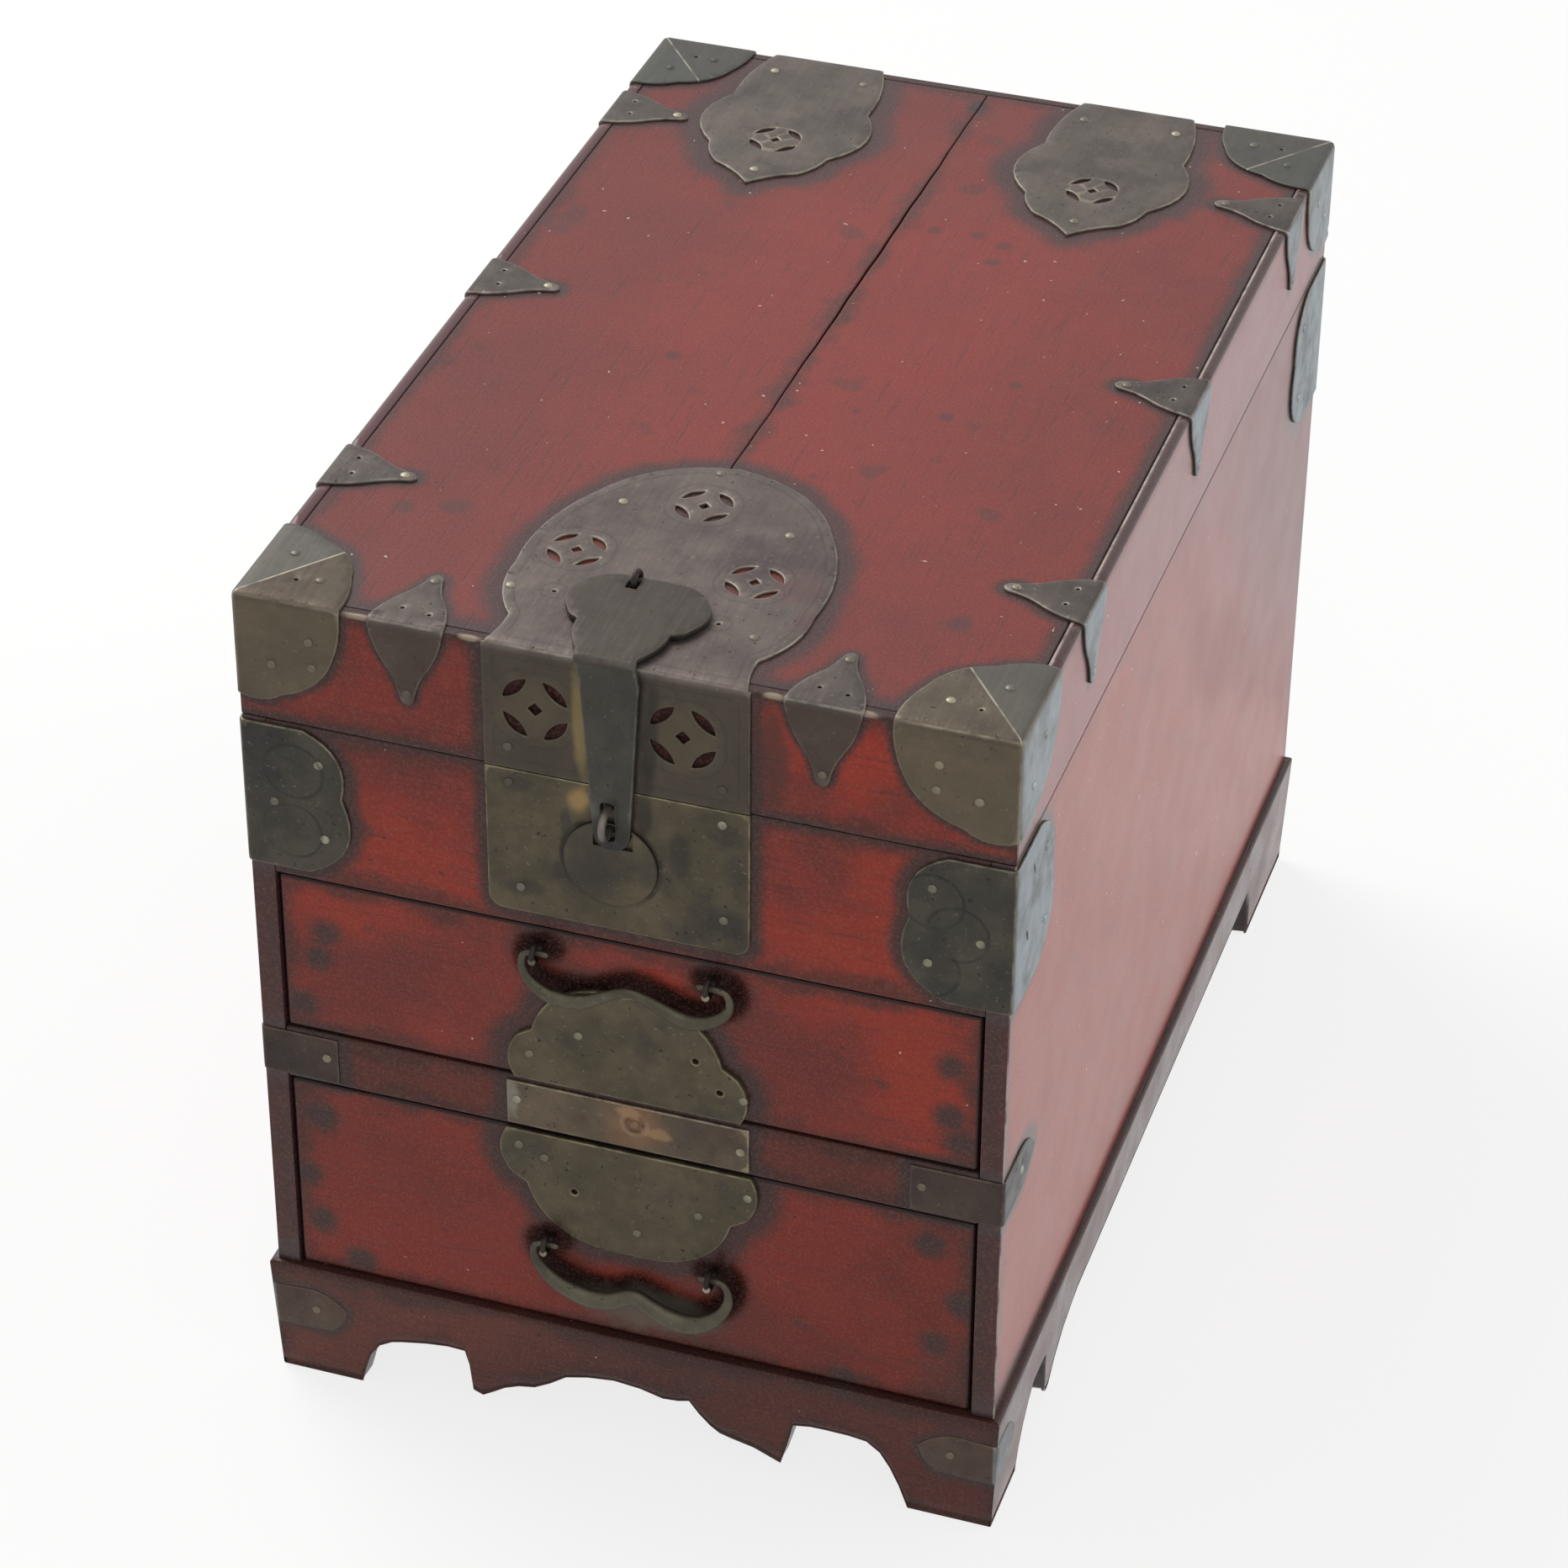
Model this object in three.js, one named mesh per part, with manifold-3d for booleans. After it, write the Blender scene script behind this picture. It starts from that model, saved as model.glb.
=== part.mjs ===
// A red-lacquered writing box with a rear-hinged lid, a hasp, two drawers and patinated brass fittings.
// Millimetres, +Z up, front towards -Y, origin on the standing surface under the middle of the whole box.
import * as THREE from 'three'
import { mergeVertices } from 'three/addons/utils/BufferGeometryUtils.js'
import Module from 'manifold-3d'

const wasm = await Module()
wasm.setup()

// Outside of the wooden case, and its heights from the standing surface upwards
const width = 190
const depth = 300
const baseHeight = 36
const lowerOpening = 60.5
const railHeight = 15.5
const upperOpening = 47
const frontPanelHeight = 44.5
const seamGap = 0.4
const lidHeight = 33.5

// Board thicknesses
const caseBoard = 6
const floorBoard = 4
const dividerBoard = 5
const bottomBoard = 5
const baseBoard = 9
const drawerFrontBoard = 7
const drawerWallBoard = 5
const drawerBottomBoard = 3
const lidPanelBoard = 5

// Clearances
const jointGap = 0.3
const drawerSideGap = 0.6
const drawerTopGap = 0.6
const drawerBackGap = 3
const overrun = 1

// Brass sheet, nail heads and pierced coins
const sheetThickness = 0.8
const nailRadius = 1.3
const nailHeight = 0.5
const coinRadius = 7.5

// Levels and half sizes that follow
const lowerTop = baseHeight + lowerOpening
const railTop = lowerTop + railHeight
const upperTop = railTop + upperOpening
const caseTop = upperTop + frontPanelHeight
const lidBottom = caseTop + seamGap
const lidTop = lidBottom + lidHeight
const metalTop = lidTop + sheetThickness
const halfWidth = width / 2
const halfDepth = depth / 2
const innerHalfWidth = halfWidth - caseBoard
const innerHalfDepth = halfDepth - caseBoard

// Counts
const arcSteps = 4
const petalSteps = 3
const roundSides = 14
const nailSides = 6
const wireSides = 6
const bendSteps = 6
const bailSteps = 40

// Finishes
const lacquer = new THREE.MeshStandardMaterial({ color: 0x763a32, roughness: 0.35, metalness: 0 })
const darkLacquer = new THREE.MeshStandardMaterial({ color: 0x57382f, roughness: 0.45, metalness: 0 })
const bareWood = new THREE.MeshStandardMaterial({ color: 0x8a6a48, roughness: 0.8, metalness: 0 })
const patinatedBrass = new THREE.MeshStandardMaterial({ color: 0x5c5748, roughness: 0.5, metalness: 0.8 })
const darkBrass = new THREE.MeshStandardMaterial({ color: 0x35312c, roughness: 0.5, metalness: 0.8 })

const writingBox = new THREE.Group()

function add (name, geometry, material) {
  const mesh = new THREE.Mesh(geometry, material)
  mesh.name = name
  writingBox.add(mesh)
}

// Joining and cutting of closed shapes
function solidOf (geometry) {
  const bare = geometry.clone()
  bare.deleteAttribute('normal')
  bare.deleteAttribute('uv')
  const merged = mergeVertices(bare)
  const vertProperties = new Float32Array(merged.attributes.position.array)
  const triVerts = new Uint32Array(merged.index.array)
  return new wasm.Manifold(new wasm.Mesh({ numProp: 3, vertProperties, triVerts }))
}

function geometryOf (solid) {
  const mesh = solid.getMesh()
  const geometry = new THREE.BufferGeometry()
  geometry.setAttribute('position', new THREE.BufferAttribute(mesh.vertProperties, 3))
  geometry.setIndex(new THREE.BufferAttribute(mesh.triVerts, 1))
  geometry.computeVertexNormals()
  return geometry
}

function join (...pieces) {
  return geometryOf(pieces.map(solidOf).reduce((whole, piece) => whole.add(piece)))
}

function cut (piece, ...tools) {
  return geometryOf(tools.map(solidOf).reduce((whole, tool) => whole.subtract(tool), solidOf(piece)))
}

// A square-edged board or a square hole, from one span to another along each axis
function board ([x0, x1], [y0, y1], [z0, z1]) {
  const geometry = new THREE.BoxGeometry(1, 1, 1)
  const position = geometry.attributes.position
  for (let i = 0; i < position.count; i++) {
    const x = position.getX(i) < 0 ? x0 : x1
    const y = position.getY(i) < 0 ? y0 : y1
    const z = position.getZ(i) < 0 ? z0 : z1
    position.setXYZ(i, x, y, z)
  }
  return geometry
}

function span (middle, half) {
  return [middle - half, middle + half]
}

// A span that runs inwards from a face on the given side of the box
function inwards (side, face, thickness) {
  return side < 0 ? [-face, thickness - face] : [face - thickness, face]
}

// The outer faces of the case. A drawing on a face has u to the right and v up (or back, on the top), as
// seen from outside, and side says which way the world axis runs along u.
const faces = {
  top: { u: [1, 0, 0], v: [0, 1, 0], w: [0, 0, 1], base: lidTop, side: 1 },
  front: { u: [1, 0, 0], v: [0, 0, 1], w: [0, -1, 0], base: halfDepth, half: halfWidth, side: 1 },
  back: { u: [-1, 0, 0], v: [0, 0, 1], w: [0, 1, 0], base: halfDepth, half: halfWidth, side: -1 },
  right: { u: [0, 1, 0], v: [0, 0, 1], w: [1, 0, 0], base: halfWidth, half: halfDepth, side: 1 },
  left: { u: [0, -1, 0], v: [0, 0, 1], w: [-1, 0, 0], base: halfWidth, half: halfDepth, side: -1 }
}

// Moves a drawing's geometry onto a face, with its own zero height lifted above the face
function onFace (geometry, face, lift = 0) {
  const axes = [face.u, face.v, face.w].map((axis) => new THREE.Vector3(...axis))
  const matrix = new THREE.Matrix4().makeBasis(...axes)
  matrix.setPosition(axes[2].clone().multiplyScalar(face.base + lift))
  return geometry.applyMatrix4(matrix)
}

function sheet (face, shape, thickness = sheetThickness, lift = 0) {
  const options = { depth: thickness, bevelEnabled: false, curveSegments: arcSteps }
  return onFace(new THREE.ExtrudeGeometry(shape, options), face, lift)
}

// A low nail head that stands out of the sheet metal on a face
function nail (face, u, v) {
  const stem = nailHeight + sheetThickness / 2
  const geometry = new THREE.CylinderGeometry(nailRadius / 2, nailRadius, stem, nailSides)
  geometry.rotateX(Math.PI / 2)
  geometry.translate(u, v, sheetThickness + nailHeight / 2 - sheetThickness / 4)
  return onFace(geometry, face)
}

// A closed outline of arcs. A point is [across, along, rise]: shares of the two sizes, and how far the arc
// to the next point swells outwards as a share of its chord. The points run counter-clockwise, and place
// puts them on the drawing.
function outline (points, across, along, place = (u, v) => [u, v]) {
  const shape = new THREE.Shape()
  const spots = points.map(([u, v]) => [u * across, v * along])
  shape.moveTo(...place(...spots[0]))
  points.forEach(([, , rise = 0], i) => {
    const [u0, v0] = spots[i]
    const [u1, v1] = spots[(i + 1) % spots.length]
    const swell = place((u0 + u1) / 2 + 2 * rise * (v1 - v0), (v0 + v1) / 2 - 2 * rise * (u1 - u0))
    if (rise === 0) {
      shape.lineTo(...place(u1, v1))
    } else {
      shape.quadraticCurveTo(...swell, ...place(u1, v1))
    }
  })
  return shape
}

// The whole of an outline that is given as its right half, from its foot to its tip
function mirrored (half) {
  const far = half.map(([across, along], i) => [-across, along, i > 0 ? half[i - 1][2] : 0]).reverse()
  const near = half.at(-1)[0] === 0 ? half.slice(0, -1) : half
  return [...near, ...(half[0][0] === 0 ? far.slice(0, -1) : far)]
}

// The four petals and the centre diamond of a pierced coin, as holes in a drawing
const petalTurnShare = 0.17
const petalEndShare = 0.9
const petalOuterShare = 1.12
const petalInnerShare = 0.5
const diamondShare = 0.2

function pierce (shape, places) {
  for (const [u, v] of places) {
    const spot = (share, turn) => {
      const angle = 2 * Math.PI * turn
      const reach = coinRadius * share
      return new THREE.Vector2(u + reach * Math.cos(angle), v + reach * Math.sin(angle))
    }
    for (const eighth of [1, 3, 5, 7]) {
      const middle = eighth / 8
      const start = spot(petalEndShare, middle - petalTurnShare / 2)
      const end = spot(petalEndShare, middle + petalTurnShare / 2)
      const outer = new THREE.QuadraticBezierCurve(start, spot(petalOuterShare, middle), end)
      const inner = new THREE.QuadraticBezierCurve(end, spot(petalInnerShare, middle), start)
      const corners = [...outer.getPoints(petalSteps), ...inner.getPoints(petalSteps).slice(1, -1)]
      shape.holes.push(new THREE.Path(corners))
    }
    shape.holes.push(new THREE.Path([0, 2, 4, 6].map((eighth) => spot(diamondShare, eighth / 8))))
  }
  return shape
}

// A round wire along a smooth curve through points, in steps
function wire (points, radius, steps) {
  const places = points.map((point) => new THREE.Vector3(...point))
  const extrudePath = new THREE.CatmullRomCurve3(places, false, 'centripetal')
  const corners = Array.from({ length: wireSides }, (_, i) => {
    const angle = 2 * Math.PI * i / wireSides
    return new THREE.Vector2(radius * Math.cos(angle), radius * Math.sin(angle))
  })
  return new THREE.ExtrudeGeometry(new THREE.Shape(corners), { steps, extrudePath, bevelEnabled: false })
}

// A round bar along the x axis, about a line at y and z
function crossBar (radius, [x0, x1], y, z) {
  const geometry = new THREE.CylinderGeometry(radius, radius, x1 - x0, roundSides)
  geometry.rotateZ(Math.PI / 2)
  return geometry.translate((x0 + x1) / 2, y, z)
}

// Wooden case: full-depth sides, with the back, the front panel, the floors and the rail between them
const between = span(0, innerHalfWidth)
const behindPanel = span(0, innerHalfDepth)
const railDepth = 12

for (const [name, side] of [['side_left', -1], ['side_right', 1]]) {
  add(name, board(inwards(side, halfWidth, caseBoard), span(0, halfDepth), [baseHeight, caseTop]), lacquer)
}
add('back_panel', board(between, inwards(1, halfDepth, caseBoard), [baseHeight, caseTop]), lacquer)
add('compartment_floor', board(between, behindPanel, [upperTop, upperTop + floorBoard]), bareWood)
add('drawer_rail', board(between, inwards(-1, halfDepth, railDepth), [lowerTop, railTop]), lacquer)
const behindRail = [railDepth - halfDepth, innerHalfDepth]
add('divider_board', board(between, behindRail, [railTop - dividerBoard, railTop]), bareWood)

// Base: four mitred boards with cut-away undersides. They stand proud of the case and lean in to the feet.
const baseProud = 1.8
const baseTaper = 1.5
const frontApronShares = [
  [-1, 0, 0], [-0.774, 0, -0.15], [-0.65, 0.47, -0.04], [-0.466, 0.53, 0], [-0.447, 0.17, 0.2],
  [-0.42, 0.14, -0.05], [-0.27, 0.33, -0.04], [-0.18, 0.5, -0.05], [-0.04, 0.575, -0.03],
  [0.1, 0.51, 0.05], [0.168, 0.547, 0], [0.226, 0.356, -0.06], [0.284, 0.28, -0.04], [0.42, 0.15, 0],
  [0.458, 0.54, -0.03], [0.66, 0.55, -0.15], [0.774, 0, 0], [1, 0, 0], [1, 1, 0], [-1, 1, 0]
]
const sideApronShares = [
  [-1, 0, 0], [-0.86, 0, -0.14], [-0.78, 0.56, 0], [-0.705, 0.54, -0.05], [-0.69, 0.17, 0.2],
  [-0.665, 0.12, -0.16], [-0.5, 0.48, 0], [0.7, 0.5, -0.12], [0.74, 0, 0], [1, 0, 0], [1, 1, 0], [-1, 1, 0]
]
const backApronShares = mirrored([[0, 0.5, 0], [0.7, 0.5, -0.12], [0.77, 0, 0], [1, 0, 0], [1, 1, 0]])

function baseBoardPiece (face, shares) {
  const shape = outline(shares, face.half, baseHeight, (u, v) => [face.side * u, v])
  const options = { depth: baseBoard, bevelEnabled: false, curveSegments: arcSteps }
  const geometry = new THREE.ExtrudeGeometry(shape, options)
  const position = geometry.attributes.position
  for (let i = 0; i < position.count; i++) {
    const [u, v] = [position.getX(i), position.getY(i)]
    const lean = baseTaper * (1 - v / baseHeight)
    const w = position.getZ(i) > 0 ? baseProud - lean : baseProud - baseBoard
    const mitred = Math.abs(u) < face.half - jointGap ? u : Math.sign(u) * (face.half + w - jointGap / 2)
    position.setXYZ(i, mitred, v, w)
  }
  return onFace(geometry, face)
}

add('base_front', baseBoardPiece(faces.front, frontApronShares), darkLacquer)
add('base_back', baseBoardPiece(faces.back, backApronShares), darkLacquer)
add('base_left', baseBoardPiece(faces.left, sideApronShares), darkLacquer)
add('base_right', baseBoardPiece(faces.right, sideApronShares), darkLacquer)
const insideBase = baseProud - baseBoard - jointGap
const bottomSpans = [halfWidth, halfDepth].map((half) => span(0, half + insideBase))
add('bottom_board', board(...bottomSpans, [baseHeight - bottomBoard, baseHeight]), bareWood)

// Lid: four mitred rims, rebated for a top of two boards with an open shrinkage crack between them. The side
// rims rise in a half-round bead that breaks off at each fitting.
const lidLip = 3.2
const beadHeight = 0.7
const crackWidth = 0.5
const crackFront = -5
const crackBack = -0.8
const clipHalf = 9.5
const frontCornerReach = 32
const rearCornerReach = 29
const frontClipGap = 18.5
const rearClipGap = 5
const middleClipY = 7.5
const sideClipPlaces = [
  frontCornerReach + frontClipGap + clipHalf - halfDepth,
  middleClipY,
  halfDepth - rearCornerReach - rearClipGap - clipHalf
]

function lidRim (face, bead) {
  const rebate = lidTop - lidPanelBoard
  const profile = new THREE.Shape()
  profile.moveTo(-caseBoard, lidBottom)
  profile.lineTo(0, lidBottom)
  profile.lineTo(0, lidTop)
  if (bead) {
    profile.quadraticCurveTo(-lidLip / 2, lidTop + 2 * beadHeight, -lidLip, lidTop)
  } else {
    profile.lineTo(-lidLip, lidTop)
  }
  profile.lineTo(-lidLip, rebate)
  profile.lineTo(-caseBoard, rebate)
  const options = { depth: 1, bevelEnabled: false, curveSegments: arcSteps }
  const geometry = new THREE.ExtrudeGeometry(profile, options)
  const position = geometry.attributes.position
  for (let i = 0; i < position.count; i++) {
    const w = position.getX(i)
    const end = position.getZ(i) > 0 ? -1 : 1
    position.setXYZ(i, end * (face.half + w - jointGap / 2), position.getY(i), w)
  }
  return onFace(geometry, face)
}

function beadBreak (side, y0, y1) {
  const across = inwards(side, halfWidth + overrun, lidLip + 2 * overrun)
  return board(across, [y0 - jointGap, y1 + jointGap], [lidTop, lidTop + beadHeight + overrun])
}

for (const [name, side] of [['lid_side_left', -1], ['lid_side_right', 1]]) {
  const breaks = sideClipPlaces.map((place) => beadBreak(side, ...span(place, clipHalf)))
  const corners = [
    beadBreak(side, -halfDepth - sheetThickness, frontCornerReach - halfDepth),
    beadBreak(side, halfDepth - rearCornerReach, halfDepth + sheetThickness)
  ]
  add(name, cut(lidRim(side < 0 ? faces.left : faces.right, true), ...breaks, ...corners), lacquer)
}
add('lid_front_board', lidRim(faces.front, false), lacquer)
add('lid_back_board', lidRim(faces.back, false), lacquer)

// Hasp: a leaf on the lid and a strap over the front, on a wire staple that it turns in
const haspThickness = 1.4
const haspLift = 0.6
const haspBarHalf = 0.9
const haspStapleWire = 0.8
const haspStapleLoop = 2.3
const haspStapleX = -7.2
const haspBarReach = 32.1
const haspPivotY = haspBarReach - halfDepth
const haspPivotZ = metalTop + haspLift + haspThickness / 2
const haspHoleHalf = haspStapleWire + jointGap

function stapleHoles (levels) {
  return [-1, 1].map((end) => {
    const y = haspPivotY + end * haspStapleLoop
    return board(span(haspStapleX, haspHoleHalf), span(y, haspHoleHalf), levels)
  })
}

function lidPanel (side) {
  const half = [halfWidth - lidLip - jointGap, halfDepth - lidLip - jointGap]
  const crack = [crackFront, crackBack].map((middle) => middle + side * crackWidth / 2)
  const edge = side * half[0]
  const corners = [[edge, -half[1]], [edge, half[1]], [crack[1], half[1]], [crack[0], -half[1]]]
  const shape = new THREE.Shape(corners.map((corner) => new THREE.Vector2(...corner)))
  return sheet(faces.top, shape, lidPanelBoard, -lidPanelBoard)
}

const panelHoles = stapleHoles([lidTop - lidPanelBoard - overrun, lidTop + overrun])
add('lid_panel_left', cut(lidPanel(-1), ...panelHoles), lacquer)
add('lid_panel_right', lidPanel(1), lacquer)

// Folded plate on the lid: a lobed cloud on the top and the upper half of the lock plate on the front
const lockX = -0.9
const lockHalf = 32.6
const cloudHalf = 38
const cloudReach = 90
const cloudShares = mirrored([
  [0.84, 0, -0.05], [0.8, 0.13, 0.1], [0.97, 0.37, 0.08], [0.8, 0.75, 0.14], [0, 0.995, 0]
])
const cloudCoinShares = [[-0.66, 0.48], [-0.08, 0.79], [0.5, 0.48]]
const cloudNailShares = [[-0.1, 0.955], [-0.57, 0.74], [0.54, 0.72], [-0.9, 0.26], [0.7, 0.23]]
const lockCoinReach = 18
const lockCoinDrop = 15.1
const lockNailReach = 26
const lockNailDrop = 28
const foldedHalf = halfDepth + sheetThickness

function onCloud (u, v) {
  return [lockX + u, v - foldedHalf]
}

const cloudPlaces = (shares) => shares.map(([u, v]) => onCloud(u * cloudHalf, v * cloudReach))
const cloud = pierce(outline(cloudShares, cloudHalf, cloudReach, onCloud), cloudPlaces(cloudCoinShares))
const lockTop = new THREE.Shape([
  new THREE.Vector2(lockX - lockHalf, lidBottom), new THREE.Vector2(lockX + lockHalf, lidBottom),
  new THREE.Vector2(lockX + lockHalf, metalTop), new THREE.Vector2(lockX - lockHalf, metalTop)
])
pierce(lockTop, [-1, 1].map((side) => [lockX + side * lockCoinReach, lidTop - lockCoinDrop]))
const lidPlate = join(
  sheet(faces.top, cloud),
  sheet(faces.front, lockTop),
  ...cloudPlaces(cloudNailShares).map((place) => nail(faces.top, ...place)),
  ...[-1, 1].map((side) => nail(faces.front, lockX + side * lockNailReach, lidTop - lockNailDrop))
)
add('lid_front_plate', cut(lidPlate, ...stapleHoles([lidTop - overrun, metalTop + overrun])), patinatedBrass)

// The staple's legs go through the plate and the lid board, and its loop stands over the hasp's rear bar
const clinch = 1.5
const legFoot = lidTop - lidPanelBoard - clinch
const archPoints = Array.from({ length: bendSteps + 1 }, (_, i) => {
  const angle = Math.PI * i / bendSteps
  const reach = [haspStapleLoop * Math.cos(angle), haspStapleLoop * Math.sin(angle)]
  return [haspStapleX, haspPivotY - reach[0], haspPivotZ + reach[1]]
})
const lidStaplePoints = [
  [haspStapleX, haspPivotY - haspStapleLoop, legFoot], ...archPoints,
  [haspStapleX, haspPivotY + haspStapleLoop, legFoot]
]
add('lid_staple', wire(lidStaplePoints, haspStapleWire, 2 * bendSteps), darkBrass)

const leafX = -3.3
const leafHalf = 16.8
const strapX = -1.6
const strapTopHalf = 7.6
const strapEndHalf = 4.6
const strapEnd = 46
const tongueEnd = 50
const haspWindow = 3.4
const stapleX = -2.4
const stapleDrop = 8.2
const stapleZ = caseTop - stapleDrop
const stapleWire = 1
const stapleLoop = 3.3
const slotSideGap = 0.7
const slotEndGap = 1
const slotHalfWidth = stapleWire + slotSideGap
const slotHalfHeight = stapleLoop + stapleWire + slotEndGap
const leafShares = mirrored([
  [0.45, 0, 0], [0.45, 0.1, 0.08], [0.68, 0.42, 0.12], [0.88, 0.5, 0.22], [0.78, 0.93, 0.1], [0.3, 1, 0]
])
const strapShares = mirrored([[1, 0, 0], [strapEndHalf / strapTopHalf, strapEnd / tongueEnd, 0.2], [0, 1, 0]])

const strapOutside = sheetThickness + haspLift + haspThickness
const leafRear = haspPivotY + haspBarHalf
const leafReach = leafRear + halfDepth + strapOutside
const onLeaf = (u, v) => [leafX + u, v - halfDepth - strapOutside]
const strapTop = lidTop + strapOutside
const onStrap = (u, drop) => [strapX + u, strapTop - drop]
const strapLength = tongueEnd + strapOutside
const haspBase = sheetThickness + haspLift
const leaf = sheet(faces.top, outline(leafShares, leafHalf, leafReach, onLeaf), haspThickness, haspBase)
const strapShape = outline(strapShares, strapTopHalf, strapLength, onStrap)
const strap = sheet(faces.front, strapShape, haspThickness, haspBase)
const throughLeaf = [metalTop, metalTop + strapOutside + overrun]
const windowSpan = [haspPivotY - haspBarHalf - haspWindow, haspPivotY - haspBarHalf]
const haspHole = board(span(haspStapleX, haspStapleWire + 2 * jointGap), windowSpan, throughLeaf)
const throughStrap = [-halfDepth - strapOutside - overrun, -halfDepth]
const slot = board(span(stapleX, slotHalfWidth), throughStrap, span(stapleZ, slotHalfHeight))
add('hasp', cut(join(leaf, strap), haspHole, slot), darkBrass)

// Lock plate on the case, with a raised round escutcheon notched for the hasp's tongue
const lockMargin = 4
const lockBottom = upperTop + lockMargin
const lockCornerShare = 0.1
const lockCaseShares = mirrored([[1 - lockCornerShare, 0, 0.2], [1, lockCornerShare, 0], [1, 1, 0]])
const escutcheonRadius = 11.7
const escutcheonRise = 0.9
const escutcheonDrop = 21
const escutcheonZ = caseTop - escutcheonDrop
const notchBottom = lidTop - tongueEnd - jointGap
const stapleLegHole = stapleWire + jointGap

const onLock = (u, v) => [lockX + u, lockBottom + v]
const lockCase = sheet(faces.front, outline(lockCaseShares, lockHalf, caseTop - lockBottom, onLock))
const round = new THREE.Shape()
round.absarc(stapleX, escutcheonZ, escutcheonRadius, 0, 2 * Math.PI)
const roundDepth = sheetThickness / 2 + escutcheonRise
const roundOptions = { depth: roundDepth, bevelEnabled: false, curveSegments: roundSides }
const escutcheon = onFace(new THREE.ExtrudeGeometry(round, roundOptions), faces.front, sheetThickness / 2)
const notchSpan = [-halfDepth - sheetThickness - escutcheonRise - overrun, -halfDepth - sheetThickness]
const notch = board(span(strapX, strapEndHalf + 2 * jointGap), notchSpan, [notchBottom, caseTop])
const legSpans = [-1, 1].map((end) => span(stapleZ + end * stapleLoop, stapleLegHole))
const legRun = [-halfDepth - sheetThickness - overrun, overrun - innerHalfDepth]
const legHoles = legSpans.map((levels) => board(span(stapleX, stapleLegHole), legRun, levels))
const lockNailRise = lockNailReach / 3
const lockNailLevel = lockBottom + lockNailRise
const lockNails = [-1, 1].map((side) => nail(faces.front, lockX + side * lockNailReach, lockNailLevel))
add('case_lock_plate', cut(join(lockCase, ...lockNails, cut(escutcheon, notch)), ...legHoles), patinatedBrass)
const frontPanel = board(between, inwards(-1, halfDepth, caseBoard), [upperTop, caseTop])
add('front_panel', cut(frontPanel, ...legHoles), lacquer)

// The case staple stands out through the strap's slot
const stapleArchY = -halfDepth - strapOutside - stapleWire
const staplePoints = Array.from({ length: bendSteps + 1 }, (_, i) => {
  const angle = Math.PI * i / bendSteps
  return [stapleX, stapleArchY - stapleLoop * Math.sin(angle), stapleZ - stapleLoop * Math.cos(angle)]
})
const stapleFoot = clinch - innerHalfDepth
const caseStaplePoints = [
  [stapleX, stapleFoot, stapleZ - stapleLoop], ...staplePoints, [stapleX, stapleFoot, stapleZ + stapleLoop]
]
add('case_staple', wire(caseStaplePoints, stapleWire, 2 * bendSteps), darkBrass)

// Folded corner caps of the lid: a leaf on the top and a flap down each side
const capAcrossShare = 0.158
const capAcross = capAcrossShare * width
const capDrop = 29.5
const capLeafShares = [[0, 0, 0], [1, 0, 0.06], [0.9, 0.46, 0.14], [0.46, 0.87, 0.1], [0, 1, 0]]
const capFlapShares = [[0, 0, 0], [1, 0, 0.05], [0.95, 0.4, 0.14], [0.42, 0.9, 0.14], [0, 0.95, 0]]
const capNailShares = [[0.66, 0.33], [0.28, 0.62]]

// Places a point that is measured inwards from a corner of a wall face and down from a level
function fromCorner (face, corner, level) {
  return (u, drop) => [face.side * corner * (face.half + sheetThickness - u), level - drop]
}

function flap (face, corner, level, shares, across, drop, nailShares) {
  const place = fromCorner(face, corner, level)
  const nails = nailShares.map(([u, v]) => nail(face, ...place(u * across, v * drop)))
  return [sheet(face, outline(shares, across, drop, place)), ...nails]
}

for (const [endName, end, reach] of [['front', -1, frontCornerReach], ['rear', 1, rearCornerReach]]) {
  for (const [sideName, side] of [['left', -1], ['right', 1]]) {
    const wall = end < 0 ? faces.front : faces.back
    const flank = side < 0 ? faces.left : faces.right
    const place = (u, v) => [side * (halfWidth + sheetThickness - u), end * (foldedHalf - v)]
    const nails = capNailShares.map(([u, v]) => nail(faces.top, ...place(u * capAcross, v * reach)))
    const pieces = [
      sheet(faces.top, outline(capLeafShares, capAcross, reach, place)), ...nails,
      ...flap(wall, side, metalTop, capFlapShares, capAcross, capDrop, capNailShares),
      ...flap(flank, end, metalTop, capFlapShares, reach, capDrop, capNailShares)
    ]
    add(`lid_corner_${endName}_${sideName}`, join(...pieces), patinatedBrass)
  }
}

// Clips folded over the lid's edges, each a pointed leaf on the top and another down the side
const clipReach = 22.5
const clipShares = mirrored([[1, 0, 0.05], [0.55, 0.55, -0.05], [0, 1, 0]])
const clipNailShare = 0.7
const frontClipShares = [-0.55, 0.515]

function clip (face, along) {
  const onTop = {
    front: (u, v) => [along + u, v - foldedHalf],
    left: (u, v) => [v - halfWidth - sheetThickness, along + u],
    right: (u, v) => [halfWidth + sheetThickness - v, along + u]
  }[face]
  const wall = faces[face]
  const onWall = (u, v) => [wall.side * (along + u), metalTop - v]
  return join(
    sheet(faces.top, outline(clipShares, clipHalf, clipReach, onTop)),
    sheet(wall, outline(clipShares, clipHalf, clipReach, onWall)),
    nail(faces.top, ...onTop(0, clipNailShare * clipReach)),
    nail(wall, ...onWall(0, clipNailShare * clipReach))
  )
}

frontClipShares.forEach((share, i) => {
  add(`lid_clip_front_${i + 1}`, clip('front', share * halfWidth), patinatedBrass)
})
for (const side of ['left', 'right']) {
  sideClipPlaces.forEach((place, i) => {
    add(`lid_clip_${side}_${i + 1}`, clip(side, place), patinatedBrass)
  })
}

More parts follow.
